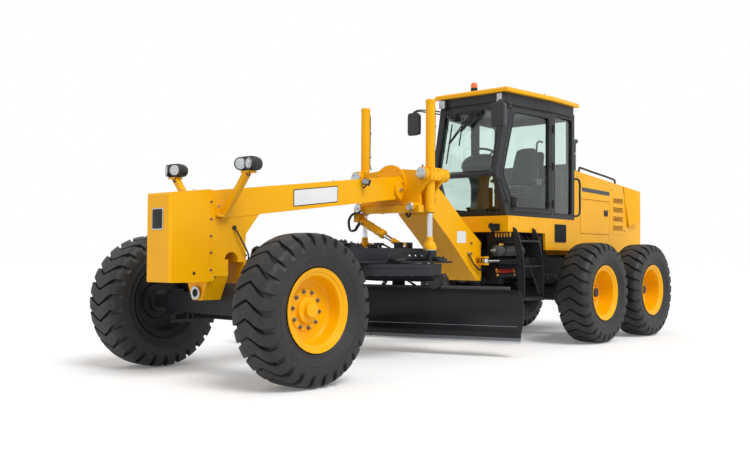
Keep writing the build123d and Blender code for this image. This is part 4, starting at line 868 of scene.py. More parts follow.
def draw_beam_lamp(bm, side):
    """A small side lamp tilted on its stalk."""
    base = Vector((AXLE.x - 1790, side * 176, 1888))
    head = base + Vector((22, side * 62, 62))
    tube_along(bm, [base, base + Vector((4, side * 36, 14)), head + Vector((0, 0, -22))], 8, 8, PLASTIC)
    turn = frame_for((0.93, side * 0.3, 0.2), (0, 0.28, 1))
    for size, start, thick, index in ((1.0, -30, 44, PLASTIC), (0.8, 13, 5, LENS)):
        rings = []
        for inset, along in ((0.86, start), (1.0, start + 6), (1.0, start + thick - 2), (0.94, start + thick)):
            rings.append(ring_of(bm, [head + turn @ Vector((px * size * inset, py * size * inset, along))
                                      for px, py in rounded(44, 34, 10)]))
        skin(bm, rings, index=index)


class GRADER_OT_front(bpy.types.Operator):
    """Nose plate, flange bolts, hoses, head lamps and side lamps"""
    bl_idname = "grader.front"
    bl_label = "Front frame"

    def execute(self, context):
        bm = new_drawing()
        draw_front_trim(bm)
        for side in SIDES:
            draw_beam_lamp(bm, side)
        make("front_frame_fittings", bm, "front_frame")
        bm = new_drawing()
        draw_nose_trim(bm)
        make("nose_fittings", bm, "front_frame")
        bm = new_drawing()
        draw_headlamps(bm)
        make("head_lamps_on_posts", bm, "front_frame", ("headlamps",))
        return {"FINISHED"}


# ---- saddle, lift cylinders and centre shift ----

LIFT_X = AXLE.x - 2585
LIFT_Y = 495.0
DISC_X = AXLE.x - 2450


def draw_saddle_trim(bm):
    for k in range(16):
        angle = math.radians(11.25 + 22.5 * k)
        y, z = 218 * math.sin(angle), 1965 + 218 * math.cos(angle)
        if z > 1700 and not (abs(y) < 178 and z < 2045):
            hex_bolt(bm, (DISC_X, y, z), (1, 0, 0), 20, ENAMEL, k)
    lathe(bm, [(236, 0), (241, 2), (242, 8), (242, 22), (240, 27), (236, 29)], (DISC_X - 30, 0, 1965), (1, 0, 0), 96, ENAMEL,
          cap=False)
    for side in SIDES:
        half = [(DISC_X + 4 + 124 * math.sin(a), 1902 + 124 * math.cos(a)) for a in
                [math.radians(d) for d in range(0, 181, 10)]]
        panel(bm, half, side * 175, side, 34, ENAMEL, 6)
        hex_bolt(bm, (DISC_X + 52, side * 209, 1902), (0, side, 0), 30, ZINC)
        for z in (1812, 1992):
            hex_bolt(bm, (DISC_X + 18, side * 209, z), (0, side, 0), 22, ENAMEL)
        y = side * LIFT_Y
        cap = [(0, 14), (52, 14), (60, 12), (68, 6), (70, 0), (70, -6)]
        lathe(bm, cap, (LIFT_X + 175, y, 2080), (1, 0, 0), 48, ZINC, cap=False)
        for k in range(4):
            a = math.radians(45 + 90 * k)
            hex_bolt(bm, (LIFT_X + 188, y + 42 * math.sin(a), 2080 + 42 * math.cos(a)), (1, 0, 0), 15, ZINC)
        for at in (110, 150):
            lathe(bm, [(74, 0), (78, 1), (78, 7), (74, 8)], (LIFT_X + at, y, 2080), (1, 0, 0), 48, ENAMEL, cap=False)
        for along in (-277, -212):
            lathe(bm, [(74, 0), (79, 2), (79, 14), (74, 16)], (LIFT_X + along, y, 2080), (1, 0, 0), 48, ENAMEL, cap=False)
        y = side * 395
        lathe(bm, [(0, 12), (38, 12), (46, 9), (50, 3), (50, -4)], (AXLE.x - 2340, y, 1705), (1, 0, 0), 40, ZINC, cap=False)
        lathe(bm, [(52, -30), (60, -30), (60, -8), (52, -8)], (AXLE.x - 2340, y, 1705), (1, 0, 0), 40, ENAMEL, closed=True)
        hex_bolt(bm, (AXLE.x - 2329, y, 1705), (1, 0, 0), 22, ZINC)
        if side == RIGHT:
            continue
        eye = [(AXLE.x - 2492 + 34 * math.cos(a), side * 255, 1634 + 34 * math.sin(a)) for a in
               [math.radians(d) for d in range(95, 446, 35)]]
        tube_along(bm, eye, 13, 10, SEAL, 3)
        tube_along(bm, [(LIFT_X + 40, side * 255, 1985), (LIFT_X + 60, side * 330, 2040), (LIFT_X + 80, side * 415, 2120),
                        (LIFT_X + 70, side * 445, 2190)], 9, 10, HOSE)


def draw_lift_tubes(bm):
    for side in SIDES:
        y = side * LIFT_Y
        tube = [(31, 1640), (52, 1640), (57, 1643), (58, 1650), (58, 1700), (54, 1706), (54, 2895), (57, 2898), (57, 2932),
                (53, 2937), (0, 2938)]
        lathe(bm, tube, (LIFT_X, y, 0), (0, 0, 1), 48, ENAMEL, cap=False)
        lathe(bm, [(31, 1640), (31, 1700), (0, 1701)], (LIFT_X, y, 0), (0, 0, 1), 48, SEAL, cap=False)
        lathe(bm, [(30, 1634), (42, 1634), (42, 1641), (30, 1641)], (LIFT_X, y, 0), (0, 0, 1), 40, SEAL, closed=True)
        for z in (1740, 2880):
            case(bm, LIFT_X - 62, LIFT_X - 40, y - 20, y + 20, z - 20, z + 20, 3, ENAMEL)
        pipe = [(LIFT_X - 66, y, 1740), (LIFT_X - 82, y, 1752), (LIFT_X - 88, y, 1790), (LIFT_X - 90, y - side * 20, 1985)]
        tube_along(bm, pipe, 7, 8, HOSE)
        pipe = [(LIFT_X - 52, y, 2880), (LIFT_X - 78, y, 2868), (LIFT_X - 86, y, 2820), (LIFT_X - 86, y, 2500),
                (LIFT_X - 84, y, 2260), (LIFT_X - 92, y - side * 18, 2190)]
        tube_along(bm, pipe, 7, 8, HOSE)
        for z in (2350, 2640):
            case(bm, LIFT_X - 96, LIFT_X - 50, y - 12, y + 12, z - 9, z + 9, 2, SEAL)
        for z in (2300, 1800):
            for k in (-1, 1):
                hex_bolt(bm, (LIFT_X + k * 40, y + side * 84, 2080 + (z - 2050) * 0.18), (0, side, 0), 16, ENAMEL)


def draw_lift_ends(bm):
    for side in SIDES:
        y = side * LIFT_Y
        end = [(31, 1366), (36, 1364), (38, 1358), (38, 1322), (42, 1312), (60, 1298), (72, 1272), (78, 1245), (79, 1226),
               (77, 1213), (73, 1211)]
        lathe(bm, end, (LIFT_X, y, 0), (0, 0, 1), 40, ENAMEL, cap=False)
        lathe(bm, [(70, 1209), (80, 1209), (80, 1217), (70, 1217)], (LIFT_X, y, 0), (0, 0, 1), 40, ZINC, closed=True)
        for k in (1, -1):
            hex_bolt(bm, (LIFT_X + k * 37, y, 1340), (k, 0, 0), 13, ENAMEL)
            rod(bm, (LIFT_X + k * 76, y, 1232), (LIFT_X + k * 92, y, 1232), 9, 12, ZINC)


SHIFT_X = AXLE.x - 2425
SHIFT_TOP = Vector((SHIFT_X, -450, 1585))
SHIFT_FOOT = Vector((SHIFT_X, 225, 1250))


def draw_shift_barrel(bm):
    along = (SHIFT_FOOT - SHIFT_TOP).normalized()
    body = [(44, 66), (50, 70), (51, 82), (48, 92), (48, 382), (52, 388), (53, 396), (53, 436), (48, 444), (27, 445)]
    lathe(bm, body, SHIFT_TOP, along, 48, ENAMEL)
    eye = [(-23, 20), (-23, 46), (-18, 49), (18, 49), (23, 46), (23, 20)]
    lathe(bm, [(r, a) for a, r in eye], SHIFT_TOP, (1, 0, 0), 40, ENAMEL, closed=True)
    rod(bm, SHIFT_TOP + along * 40, SHIFT_TOP + along * 75, 21, 24, ENAMEL)
    side = Vector((1, 0, 0))
    for place in (110, 412):
        port = SHIFT_TOP + along * place + side * 44
        rod(bm, port, port + side * 30, 13, 12, ENAMEL)
        rod(bm, port + side * 28, port + side * 42, 10, 6, ZINC)
    pipe = [SHIFT_TOP + along * 412 + side * 84, SHIFT_TOP + along * 396 + side * 90,
            SHIFT_TOP + along * 300 + side * 84, SHIFT_TOP + along * 190 + side * 84]
    tube_along(bm, pipe, 7, 8, ENAMEL)
    for place in (210, 320):
        strap = [(48.5, place), (51.5, place), (51.5, place + 22), (48.5, place + 22)]
        lathe(bm, strap, SHIFT_TOP, along, 40, ENAMEL, closed=True)


def draw_shift_end(bm):
    back = (SHIFT_TOP - SHIFT_FOOT).normalized()
    end = [(44, -34), (50, -14), (51, 8), (46, 28), (38, 44), (34, 60), (34, 160), (30, 168), (26.5, 170)]
    lathe(bm, end, SHIFT_FOOT, back, 40, ENAMEL, cap=False)
    lathe(bm, [(47, -22), (54, -20), (54, -8), (51, -6)], SHIFT_FOOT, back, 40, ZINC, cap=False)
    for k in (1, -1):
        side = Vector((k, 0, 0))
        hex_bolt(bm, SHIFT_FOOT + back * 140 + side * 33, side, 13, ENAMEL)


def draw_shift_hoses(bm):
    """Hoses to the centre-shift cylinder, clipped at both ends to the saddle's cross bar."""
    for k, reach in ((0, 90), (1, 64)):
        x = SHIFT_X + 60 + 26 * k
        tube_along(bm, [(x, -330, 1650), (x + 8, -440 - reach * 0.4, 1640), (x + 12, -505 - reach * 0.4, 1560),
                        (x + 12, -490 - reach * 0.3, 1470 - reach * 0.3), (x + 8, -440, 1448), (x + 4, -405, 1490),
                        (x, -372, 1530)], 11, 10, HOSE)
        rod(bm, (x, -345, 1648), (x, -310, 1655), 14, 12, ZINC)


class GRADER_OT_saddle(bpy.types.Operator):
    """Saddle bolts and caps, lift cylinders and the centre-shift cylinder"""
    bl_idname = "grader.saddle"
    bl_label = "Saddle and cylinders"

    def execute(self, context):
        for name, draw, body, slot, replaced in (
                ("saddle_caps_and_bolts", draw_saddle_trim, "front_frame", "yellow_paint", ()),
                ("lift_cylinders_with_pipes", draw_lift_tubes, "front_frame", "yellow_paint", ("lift_cylinders",)),
                ("lift_ball_housings", draw_lift_ends, "lift_rods", "yellow_paint", ()),
                ("centre_shift_cylinder", draw_shift_barrel, "centre_shift_barrel", "yellow_paint", ("centre_shift_barrel",)),
                ("centre_shift_rod_end", draw_shift_end, "centre_shift_rod", "yellow_paint", ()),
                ("centre_shift_hoses", draw_shift_hoses, "front_frame", "black_plastic", ())):
            bm = new_drawing()
            draw(bm)
            make(name, bm, body, replaced)
        return {"FINISHED"}


# ---- cab ----

FOOT = ROOF_HIGH.x - 70
ROOF_TOP = ROOF_HIGH.z


def side_at(x, grow=0.0):
    """The cab's half width at a place along the machine."""
    post, front = FOOT - 955, FOOT + 215
    share = min(1.0, max(0.0, (x - post) / (front - post)))
    return 640 - 140 * share + grow


def on_side(x, z, side, out):
    return Vector((x, side * side_at(x, out), z))


def screen_x(z):
    """The windscreen's front at a height: it leans forward to the belt and back below it."""
    if z > 2200:
        return FOOT + 215 - (z - 2200) * 0.2368
    return FOOT + 215 - (2200 - z) * 0.54


def draw_cab_trim(bm):
    """What the cab's fixed shell carries outside: gutters, lamps, wipers, rails, hinges and seals."""
    front = ROOF_HIGH.x
    for side in SIDES:
        case(bm, front - 72, front - 16, side * 452 - 60, side * 452 + 60, 3142, 3232, 8, PLASTIC)
        slab(bm, rounded(36, 52, 8), (front - 16, side * 452, 3187), (1, 0, 0), 5, 2, PLATE)
        slab(bm, rounded(38, 54, 8), (front - 12, side * 452, 3187), (1, 0, 0), 5, 2, LENS)
        tube_along(bm, [(front - 44, side * 452, 3228), (front - 44, side * 452, 3252)], 14, 12, PLASTIC, 2)
        # rear work lamps
        back = ROOF_LOW.x
        case(bm, back + 40, back + 92, side * 520 - 58, side * 520 + 58, 3152, 3232, 8, PLASTIC)
        slab(bm, rounded(48, 30, 8), (back + 42, side * 520, 3192), (-1, 0, 0), 8, 2, LENS)
        # door hinges on the post
        for z in (1860, 2370, 2880):
            x, y = FOOT - 955 - 30, side * 650
            rod(bm, (x, y, z - 52), (x, y, z + 52), 12, 14, SEAL)
            case(bm, x - 34, x, side * 636, side * 652, z - 44, z + 44, 4, SEAL)
        # grab rail behind the door and a tall one on the front post
        x = FOOT - 1600 - 46
        rail = [(x + 20, side * 628, 1720), (x - 30, side * 662, 1735), (x - 62, side * 668, 1800), (x - 62, side * 668, 2060),
                (x - 62, side * 668, 2180), (x - 30, side * 662, 2238), (x + 20, side * 628, 2250)]
        tube_along(bm, rail, 15, 12, PLASTIC)
        a = on_side(FOOT + 146, 2120, side, 0)
        b = on_side(FOOT + 2, 1850, side, 0)
        out = Vector((34, side * 38, 0))
        tube_along(bm, [a, a + out, a * 0.8 + b * 0.2 + out * 1.1, a * 0.2 + b * 0.8 + out * 1.1, b + out, b], 12, 12, PLASTIC)
        # drip rail over the door
        rail = [on_side(x, 3106, side, 8) for x in (FOOT - 30, FOOT - 400, FOOT - 955, FOOT - 1570)]
        tube_along(bm, rail, 7, 8, SEAL, 3)
        # seals round the quarter window
        loop = [(FOOT - 1040, 1732), (FOOT - 1040, 3065), (FOOT - 1525, 3065), (FOOT - 1525, 1732)]
        seal = round_corners(loop, 60, 4)
        seal.append(seal[0])
        tube_along(bm, [Vector((x, side * 636, z)) for x, z in seal], 8, 8, SEAL, 1)
    # windscreen wipers on their paired arms, and the motor covers
    for y0, y1, top, low in ((10, -285, 2905, 2370), (95, -120, 2985, 2600)):
        mid = (top + low) / 2
        hub = Vector((screen_x(3030) + 26, y0, 3030))
        grip = Vector((screen_x(mid) + 26, y1, mid))
        case(bm, hub.x - 46, hub.x - 6, y0 - 60, y0 + 60, 3004, 3066, 8, SEAL)
        for step in (0, 44):
            start = hub + Vector((0, step, 0))
            rod(bm, start - Vector((20, 0, 0)), start + Vector((14, 0, 0)), 15, 16, SEAL)
            tube_along(bm, [start, start * 0.5 + grip * 0.5 + Vector((10, step * 0.3, 0)), grip + Vector((0, step * 0.3, 0))], 9, 8,
                       SEAL, 3)
        blade = [Vector((screen_x(z) + out, y1, z)) for z, out in ((top, 16), (mid, 16), (low, 16))]
        tube_along(bm, blade, 8, 8, SEAL, 3)
        tube_along(bm, [point - Vector((8, 0, 0)) for point in blade], 6, 8, SEAL, 3)
    case(bm, screen_x(3020) + 4, screen_x(3020) + 44, -330, -230, 2985, 3045, 8, SEAL)
    for y in (-330, 330):
        rod(bm, (FOOT + 218, y, 2206), (FOOT + 236, y, 2206), 12, 12, SEAL)
    seal = round_corners([(-432, 3052), (432, 3052), (432, 2240), (-432, 2240)], 50, 4)
    seal.append(seal[0])
    tube_along(bm, [Vector((FOOT - 10 + (3150 - z) * 0.2368 + 3, y, z)) for y, z in seal], 8, 8, SEAL, 1)


def draw_roof(bm):
    """The roof's lifting eyes and seam ribs."""
    for x, y in ((FOOT - 120, 430), (FOOT - 120, -430), (FOOT - 900, 560), (FOOT - 900, -560), (FOOT - 1500, 560),
                 (FOOT - 1500, -560)):
        ring = [(x + 15 * math.cos(a), y, ROOF_TOP + 20 + 18 * math.sin(a)) for a in
                [math.radians(d) for d in range(-80, 261, 34)]]
        tube_along(bm, ring, 5, 8, DARK_ZINC, 3)
        lathe(bm, [(16, -2), (16, 4), (8, 6), (0, 6)], (x, y, ROOF_TOP), (0, 0, 1), 16, DARK_ZINC)
    for x in (FOOT - 420, FOOT - 1000, FOOT - 1450):
        slab(bm, rounded(420, 20, 18), (x, 0, ROOF_TOP - 2), (0, 0, 1), 9, 4, ENAMEL, up=(1, 0, 0))


def draw_beacon(bm):
    low, high = box_mm("beacon")
    x, y = (low.x + high.x) / 2, (low.y + high.y) / 2
    lathe(bm, [(52, -2), (52, 6), (47, 10), (45, 60), (46, 68), (40, 72), (0, 72)], (x, y, low.z), (0, 0, 1), 40, SEAL)
    dome = [(43, 70), (44, 76), (44, 116), (41, 128), (32, 139), (18, 145), (0, 147)]
    lathe(bm, dome, (x, y, low.z), (0, 0, 1), 40, AMBER, cap=False)
    lathe(bm, [(14, 72), (14, 106), (10, 114), (0, 116)], (x, y, low.z), (0, 0, 1), 20, CHROME, cap=False)
    for z in (84, 96, 108):
        lathe(bm, [(44, z), (45, z + 2), (44, z + 4)], (x, y, low.z), (0, 0, 1), 40, AMBER, cap=False)


def draw_mirrors(bm):
    for side in SIDES:
        x, y = FOOT + 405, side * 663
        for dz in (-40, -74):
            arm = [(FOOT - 60, side * 528, 3150 + dz), (FOOT + 60, side * 560, 3152 + dz), (FOOT + 300, side * 640, 3130 + dz * 0.6),
                   (FOOT + 392, side * 660, 3092 + dz * 0.4), (FOOT + 400, side * 662, 3060 + dz * 0.4)]
            tube_along(bm, arm, 9, 10, PLASTIC)
        case(bm, FOOT - 92, FOOT - 34, side * 528 - 18, side * 528 + 18, 3060, 3130, 5, PLASTIC)
        rings = []
        for back, scale in ((30, 0.95), (24, 1.0), (0, 1.0), (-22, 0.94), (-38, 0.8), (-46, 0.55)):
            rings.append(ring_of(bm, [(x + back * -1 * -1, y + px * scale, 2902 + pz * scale) for px, pz in
                                      rounded(92, 152, 40, 5)]))
        skin(bm, rings, index=PLASTIC)
        slab(bm, rounded(80, 140, 32), (x - 44, y, 2902), (-1, 0, 0), 4, 1, CHROME)
        rod(bm, (x - 6, y, 3052), (x - 6, y, 3072), 20, 16, PLASTIC)


def draw_door_trim(bm, side):
    """Handle, seals and grab bar of one door."""
    outline = [(FOOT - 157, 1784), (FOOT + 68, 2200), (FOOT - 162, 3018), (FOOT - 893, 3018), (FOOT - 893, 1784)]
    seal = round_corners(outline, 46, 4)
    seal.append(seal[0])
    tube_along(bm, [on_side(x, z, side, -2) for x, z in seal], 8, 8, SEAL, 1)
    place = on_side(FOOT - 128, 1840, side, 2)
    slab(bm, rounded(36, 82, 20), place, (0, side, 0), 14, 4, SEAL, up=(0, 0, 1))
    grip = [place + Vector((10, side * 12, -52)), place + Vector((14, side * 44, -34)), place + Vector((6, side * 48, 10)),
            place + Vector((-16, side * 40, 48)), place + Vector((-24, side * 12, 60))]
    tube_along(bm, grip, 11, 10, SEAL)
    inner = [on_side(FOOT - 840, 2690, side, -60), on_side(FOOT - 800, 2700, side, -92), on_side(FOOT - 760, 2640, side, -96),
             on_side(FOOT - 760, 2420, side, -96), on_side(FOOT - 800, 2360, side, -92), on_side(FOOT - 840, 2360, side, -60)]
    tube_along(bm, inner, 13, 12, SEAL)
    for z in (1860, 2370, 2880):
        a = on_side(FOOT - 915, z, side, 2)
        case(bm, a.x - 24, a.x + 30, a.y - side * 8, a.y + side * 5, z - 26, z + 26, 2, SEAL)


# ---- inside the cab ----

SEAT_X = FOOT - 1050


def cushion(bm, place, turn, half_x, half_y, thick, crown, channels, index=0, taper=0.0, corner=60):
    """A crowned pad with stitched channels: a grid over a rounded outline, on both faces."""
    rows, columns = 26, 30
    top, bottom = [], []
    for i in range(rows + 1):
        v = -1 + 2 * i / rows
        line_top, line_bottom = [], []
        for j in range(columns + 1):
            u = -1 + 2 * j / columns
            # square to rounded square, so that the corners are soft
            reach = 1 - 0.5 * (corner / half_x) * (abs(u) ** 4) * (abs(v) ** 4)
            x = u * half_x * reach * (1 - taper * (v + 1) / 2)
            y = v * half_y * reach
            rim = max(abs(u), abs(v))
            lift = (1 - rim ** 6) ** 0.5 if rim < 1 else 0.0
            height = thick * 0.5 * lift + crown * (1 - u * u) * (1 - v * v)
            for c in channels:
                height -= 15 * math.exp(-((y - c * half_y) / 9) ** 2) * lift
            for edge in (-0.62, 0.62):
                height -= 12 * math.exp(-((x - edge * half_x) / 9) ** 2) * lift
            line_top.append(bm.verts.new(place + turn @ Vector((x, y, thick * 0.5 + height))))
            line_bottom.append(bm.verts.new(place + turn @ Vector((x, y, thick * 0.5 - thick * 0.5 * lift))))
        top.append(line_top)
        bottom.append(line_bottom)
    for grid, flip in ((top, False), (bottom, True)):
        for i in range(rows):
            for j in range(columns):
                quad = (grid[i][j], grid[i][j + 1], grid[i + 1][j + 1], grid[i + 1][j])
                bm.faces.new(quad[::-1] if flip else quad).material_index = index


def draw_seat_cushion(bm):
    cushion(bm, Vector((SEAT_X - 5, 0, 2000)), Matrix(((0, 1, 0), (1, 0, 0), (0, 0, 1))), 235, 245, 130, 14, (-0.45, 0.0, 0.45))


def draw_seat_back(bm):
    lean = math.radians(9)
    turn = Matrix(((0, -math.sin(lean), math.cos(lean)), (1, 0, 0), (0, math.cos(lean), math.sin(lean))))
    cushion(bm, Vector((SEAT_X - 345, 0, 2400)), turn, 250, 300, 120, 16, (-0.55, -0.2, 0.15, 0.5), taper=0.34)


def draw_seat_frame(bm):
    x = SEAT_X
    case(bm, x - 230, x + 210, -215, 215, 1968, 2004, 12, PLASTIC, 40)
    case(bm, x - 180, x + 170, -170, 170, 1775, 1968, 12, SEAL, 30)
    for z in (1800, 1830, 1860, 1890, 1920, 1950):
        slab(bm, rounded(178, 178, 30), (x - 5, 0, z), (0, 0, 1), 10, 4, SEAL, up=(0, 1, 0))
    case(bm, x - 200, x + 180, -180, 180, 1718, 1775, 8, CHARCOAL, 20)
    slab(bm, rounded(215, 290, 60), (x - 392, 0, 2370), (-0.988, 0, -0.156), 26, 8, PLASTIC)
    for side in SIDES:
        case(bm, x - 250, x + 130, side * 300 - 36, side * 300 + 36, 2195, 2240, 14, PLASTIC, 30)
        case(bm, x - 220, x - 160, side * 285 - 14, side * 285 + 14, 1990, 2200, 6, SEAL)
        tube_along(bm, [(x + 60, side * 300, 2238), (x + 62, side * 300, 2300), (x + 66, side * 300, 2318)], 7, 10, SEAL)
        lathe(bm, [(0, -22), (14, -18), (20, 0), (14, 18), (0, 22)], (x + 68, side * 300, 2336), (0, 0, 1), 20, SEAL)
        case(bm, x - 20, x + 160, side * 430 - 70, side * 430 + 70, 1718, 2130, 16, PLASTIC, 26)
        for k in range(3):
            base = Vector((x + 20 + 46 * k, side * 430, 2130))
            tube_along(bm, [base, base + Vector((4, 0, 46)), base + Vector((2, 0, 92))], 5, 8, ZINC)
            lathe(bm, [(0, -17), (12, -13), (16, 0), (12, 13), (0, 17)], base + Vector((2, 0, 104)), (0, 0, 1), 16, SEAL)
    belt = [(x - 330, 262, 2080), (x - 250, 258, 2120), (x - 120, 235, 2140), (x - 60, 200, 2152)]
    tube_along(bm, belt, 9, 6, SEAL)


def draw_console(bm):
    """Instrument dome on its column, steering wheel with three spokes, levers and pedals."""
    x = FOOT - 190
    rings = []
    for z, ahead, wide, deep in ((1718, -5, 150, 120), (1760, -5, 128, 104), (2050, 8, 112, 92), (2180, 26, 140, 110),
                                 (2260, 40, 205, 150), (2330, 44, 238, 170), (2400, 34, 232, 158), (2455, 14, 205, 126),
                                 (2490, -8, 160, 86), (2508, -26, 90, 40)):
        rings.append(ring_of(bm, [(x + ahead + px * deep / 100, py * wide / 100, z) for px, py in rounded(100, 100, 80, 5)]))
    skin(bm, rings, index=PLASTIC)
    lean = Vector((-math.sin(math.radians(25)), 0, math.cos(math.radians(25))))
    hub = Vector((x - 150, 0, 2500))
    first, second = across(lean)
    loop = [hub + (first * math.cos(a) + second * math.sin(a)) * 190 for a in [2 * math.pi * k / 24 for k in range(25)]]
    tube_along(bm, loop, 15, 14, SEAL, 2)
    lathe(bm, [(0, 16), (34, 14), (44, 4), (46, -14), (30, -26), (24, -40), (24, -190), (0, -190)], hub, lean, 32, SEAL)
    for k in range(3):
        a = math.radians(90 + 120 * k)
        out = first * math.cos(a) + second * math.sin(a)
        tube_along(bm, [hub + out * 30 - lean * 4, hub + out * 110 - lean * 14, hub + out * 186], 11, 8, SEAL, 4)
    slab(bm, rounded(120, 56, 20), (x - 92, 0, 2425), (-0.75, 0, 0.66), 8, 3, DARK_PLATE)
    for y, r in ((-66, 30), (0, 38), (66, 30)):
        lathe(bm, [(r, 0), (r + 3, 2), (r + 3, 7), (r, 9), (0, 8)], (x - 98, y, 2432), (-0.75, 0, 0.66), 28, SEAL)
    for side in SIDES:
        tube_along(bm, [(x - 90, side * 60, 2440), (x - 130, side * 110, 2455), (x - 140, side * 170, 2462)], 6, 8, SEAL)
        slab(bm, rounded(36, 60, 14), (x - 30, side * 190, 1760), (-0.7, 0, 0.72), 10, 3, SEAL)
        tube_along(bm, [(x - 28, side * 190, 1757), (x + 10, side * 190, 1735), (x + 60, side * 190, 1722)], 9, 8, SEAL)
    slab(bm, rounded(560, 440, 40), (FOOT - 800, 0, 1717), (0, 0, 1), 7, 3, SEAL, up=(1, 0, 0))
    tube_along(bm, [(FOOT + 160, -440, 2206), (FOOT + 180, 0, 2206), (FOOT + 160, 440, 2206)], 15, 12, SEAL, 3)
    case(bm, FOOT - 1540, FOOT - 1470, -520, 520, 1718, 2380, 20, PLASTIC, 30)
    case(bm, FOOT - 420, FOOT - 200, -150, -60, 3080, 3128, 16, SEAL, 20)


class GRADER_OT_cab(bpy.types.Operator):
    """Cab lamps, wipers, rails, mirrors, roof fittings, doors, seat and console"""
    bl_idname = "grader.cab"
    bl_label = "Cab"

    def execute(self, context):
        for name, draw, slot, replaced in (
                ("cab_fittings", draw_cab_trim, "black_plastic", ()),
                ("roof_fittings", draw_roof, "yellow_paint", ()),
                ("beacon_dome", draw_beacon, "amber_lens", ("beacon",)),
                ("mirrors_on_arms", draw_mirrors, "black_plastic", ("mirrors",)),
                ("console_and_wheel", draw_console, "black_plastic", ("steering_console",)),
                ("seat_frame", draw_seat_frame, "black_plastic", ("seat",))):
            bm = new_drawing()
            draw(bm)
            make(name, bm, "rear_frame", replaced)
        for side in SIDES:
            bm = new_drawing()
            draw_door_trim(bm, side)
            make("door_fittings_" + SIDE_NAMES[side], bm, "cab_door_" + SIDE_NAMES[side])
        for name, draw in (("seat_cushion", draw_seat_cushion), ("seat_backrest", draw_seat_back)):
            bm = new_drawing()
            draw(bm)
            pad = finish_piece(name, bm, FINISHES["cloth"], "rear_frame", ("seat",), 50.0)
        return {"FINISHED"}


# ---- platform, ladders and hood ----

def draw_platform_trim(bm):
    """Horns, valve fittings, hoses and grilles round the platform."""
    front = DECK_HIGH.x
    for k, (y, z) in enumerate(((430, 1530), (500, 1520), (465, 1490))):
        lathe(bm, [(12, -60), (16, -30), (22, -8), (38, 6), (40, 12), (36, 13), (20, 0), (0, -6)], (front + 46, y, z), (1, 0, 0),
              28, SEAL)
        tube_along(bm, [(front + 4, y, z + 4), (front + 14, y, z + 3), (front - 2 + 14, y, z)], 8, 8, SEAL, 2)
    case(bm, front, front + 16, 405, 530, 1470, 1560, 4, SEAL)
    for k in range(6):
        y = 432 + 42 * k
        rod(bm, (front - 60, y, 1452), (front - 60, y, 1408), 12, 6, BRASS)
        rod(bm, (front - 60, y, 1410), (front - 60, y, 1392), 9, 12, BRASS)
        tube_along(bm, [(front - 60, y, 1396), (front - 70, y, 1360), (front - 130, y - 30, 1330), (front - 260, y - 60, 1325)],
                   9, 8, HOSE)
    case(bm, front - 100, front - 20, 415, 642, 1446, 1464, 4, SEAL)
    for side in SIDES:
        # ribbed grille low on the side
        case(bm, -1754, -1448, side * 650 - 8, side * 650 + 8, 1345, 1590, 6, SEAL)
        for k in range(13):
            x = -1744 + 24 * k
            rod(bm, (x, side * 660, 1352), (x, side * 660, 1583), 6.5, 8, CHARCOAL)
        # bolts along the skirt
        for x in (-330, -520, -760, -1000, -1120, -1260, -1400, -1820, -1960, -2100):
            hex_bolt(bm, (x, side * 650, 1636), (0, side, 0), 14, ENAMEL)
        tube_along(bm, [(-1290, side * 652, 1262), (-1900, side * 652, 1262), (-2140, side * 652, 1262)], 3, 6, ENAMEL, 2)
        # rails and checker strips on the deck
        for k in range(9):
            slab(bm, rounded(34, 5, 4), (-330 - 42 * k, side * 600, 1661), (0, 0, 1), 4, 1, CHARCOAL, up=(0.7, 0.7, 0))


def draw_bay(bm):
    """Dark boxes, valves and pipes in the bay behind the ladder. The two large charcoal boxes are painted shade that
    darkens the bay.
    """
    for side in SIDES:
        # painted shade: two charcoal boxes fill the bay and cover the platform's yellow cross members with dark
        case(bm, -1130, -420, side * 300 - 60, side * 300 + 60, 1150, 1600, 10, CHARCOAL)
        case(bm, -1185, -1130, side * 440 - 170, side * 440 + 170, 1150, 1600, 8, CHARCOAL)
        for k in range(4):
            x = -520 - 130 * k
            case(bm, x - 40, x + 40, side * 395 - 40, side * 395 + 40, 1390, 1500, 8, SEAL)
            rod(bm, (x, side * 436, 1430), (x, side * 462, 1430), 14, 12, BRASS if k % 2 else ZINC)
            tube_along(bm, [(x, side * 460, 1430), (x - 10, side * 520, 1420), (x - 60, side * 540, 1340),
                            (x - 70, side * 470, 1310)], 10, 8, HOSE)
        tube_along(bm, [(-430, side * 380, 1560), (-700, side * 400, 1540), (-1120, side * 400, 1560)], 16, 10, SEAL, 4)
        for k, (z, index) in enumerate(((975, RED_HOSE), (948, RED_HOSE), (905, HOSE))):
            y = side * (352 + 10 * k)
            tube_along(bm, [(-480, y, z), (-640, y + side * 4, z - 6), (-860, y, z)], 12, 10, index, 4)
            for x in (-466, -874):
                rod(bm, (x - 16, y, z), (x + 16, y, z), 17, 6, BRASS)
        case(bm, -2300, -1500, side * 330 - 40, side * 330 + 40, 770, 900, 10, CHARCOAL)
        for x in (-1560, -1760, -2000):
            hex_bolt(bm, (x, side * 370, 840), (0, side, 0), 22, DARK_ZINC)


def draw_tanks(bm):
    low, high = box_mm("fuel_tanks")
    for side in SIDES:
        y, z = side * 480, 1222
        body = [(0, 0), (40, 2), (58, 10), (66, 26), (66, 614), (58, 630), (40, 638), (0, 640)]
        lathe(bm, body, (high.x, y, z), (-1, 0, 0), 48, IRON)
        for at in (130, 500):
            lathe(bm, [(66.5, at), (70, at + 1), (70, at + 29), (66.5, at + 30)], (high.x, y, z), (-1, 0, 0), 48, SEAL,
                  closed=True)
        rod(bm, (high.x + 34, y, z), (high.x - 4, y, z), 20, 20, ZINC)
        rod(bm, (high.x + 90, y, z), (high.x + 30, y, z), 12, 16, ZINC)
        for k in range(4):
            x = high.x - 70 - 26 * k
            rod(bm, (x, y + side * 20, z + 60), (x, y + side * 20, z + 92), 9, 6, BRASS)


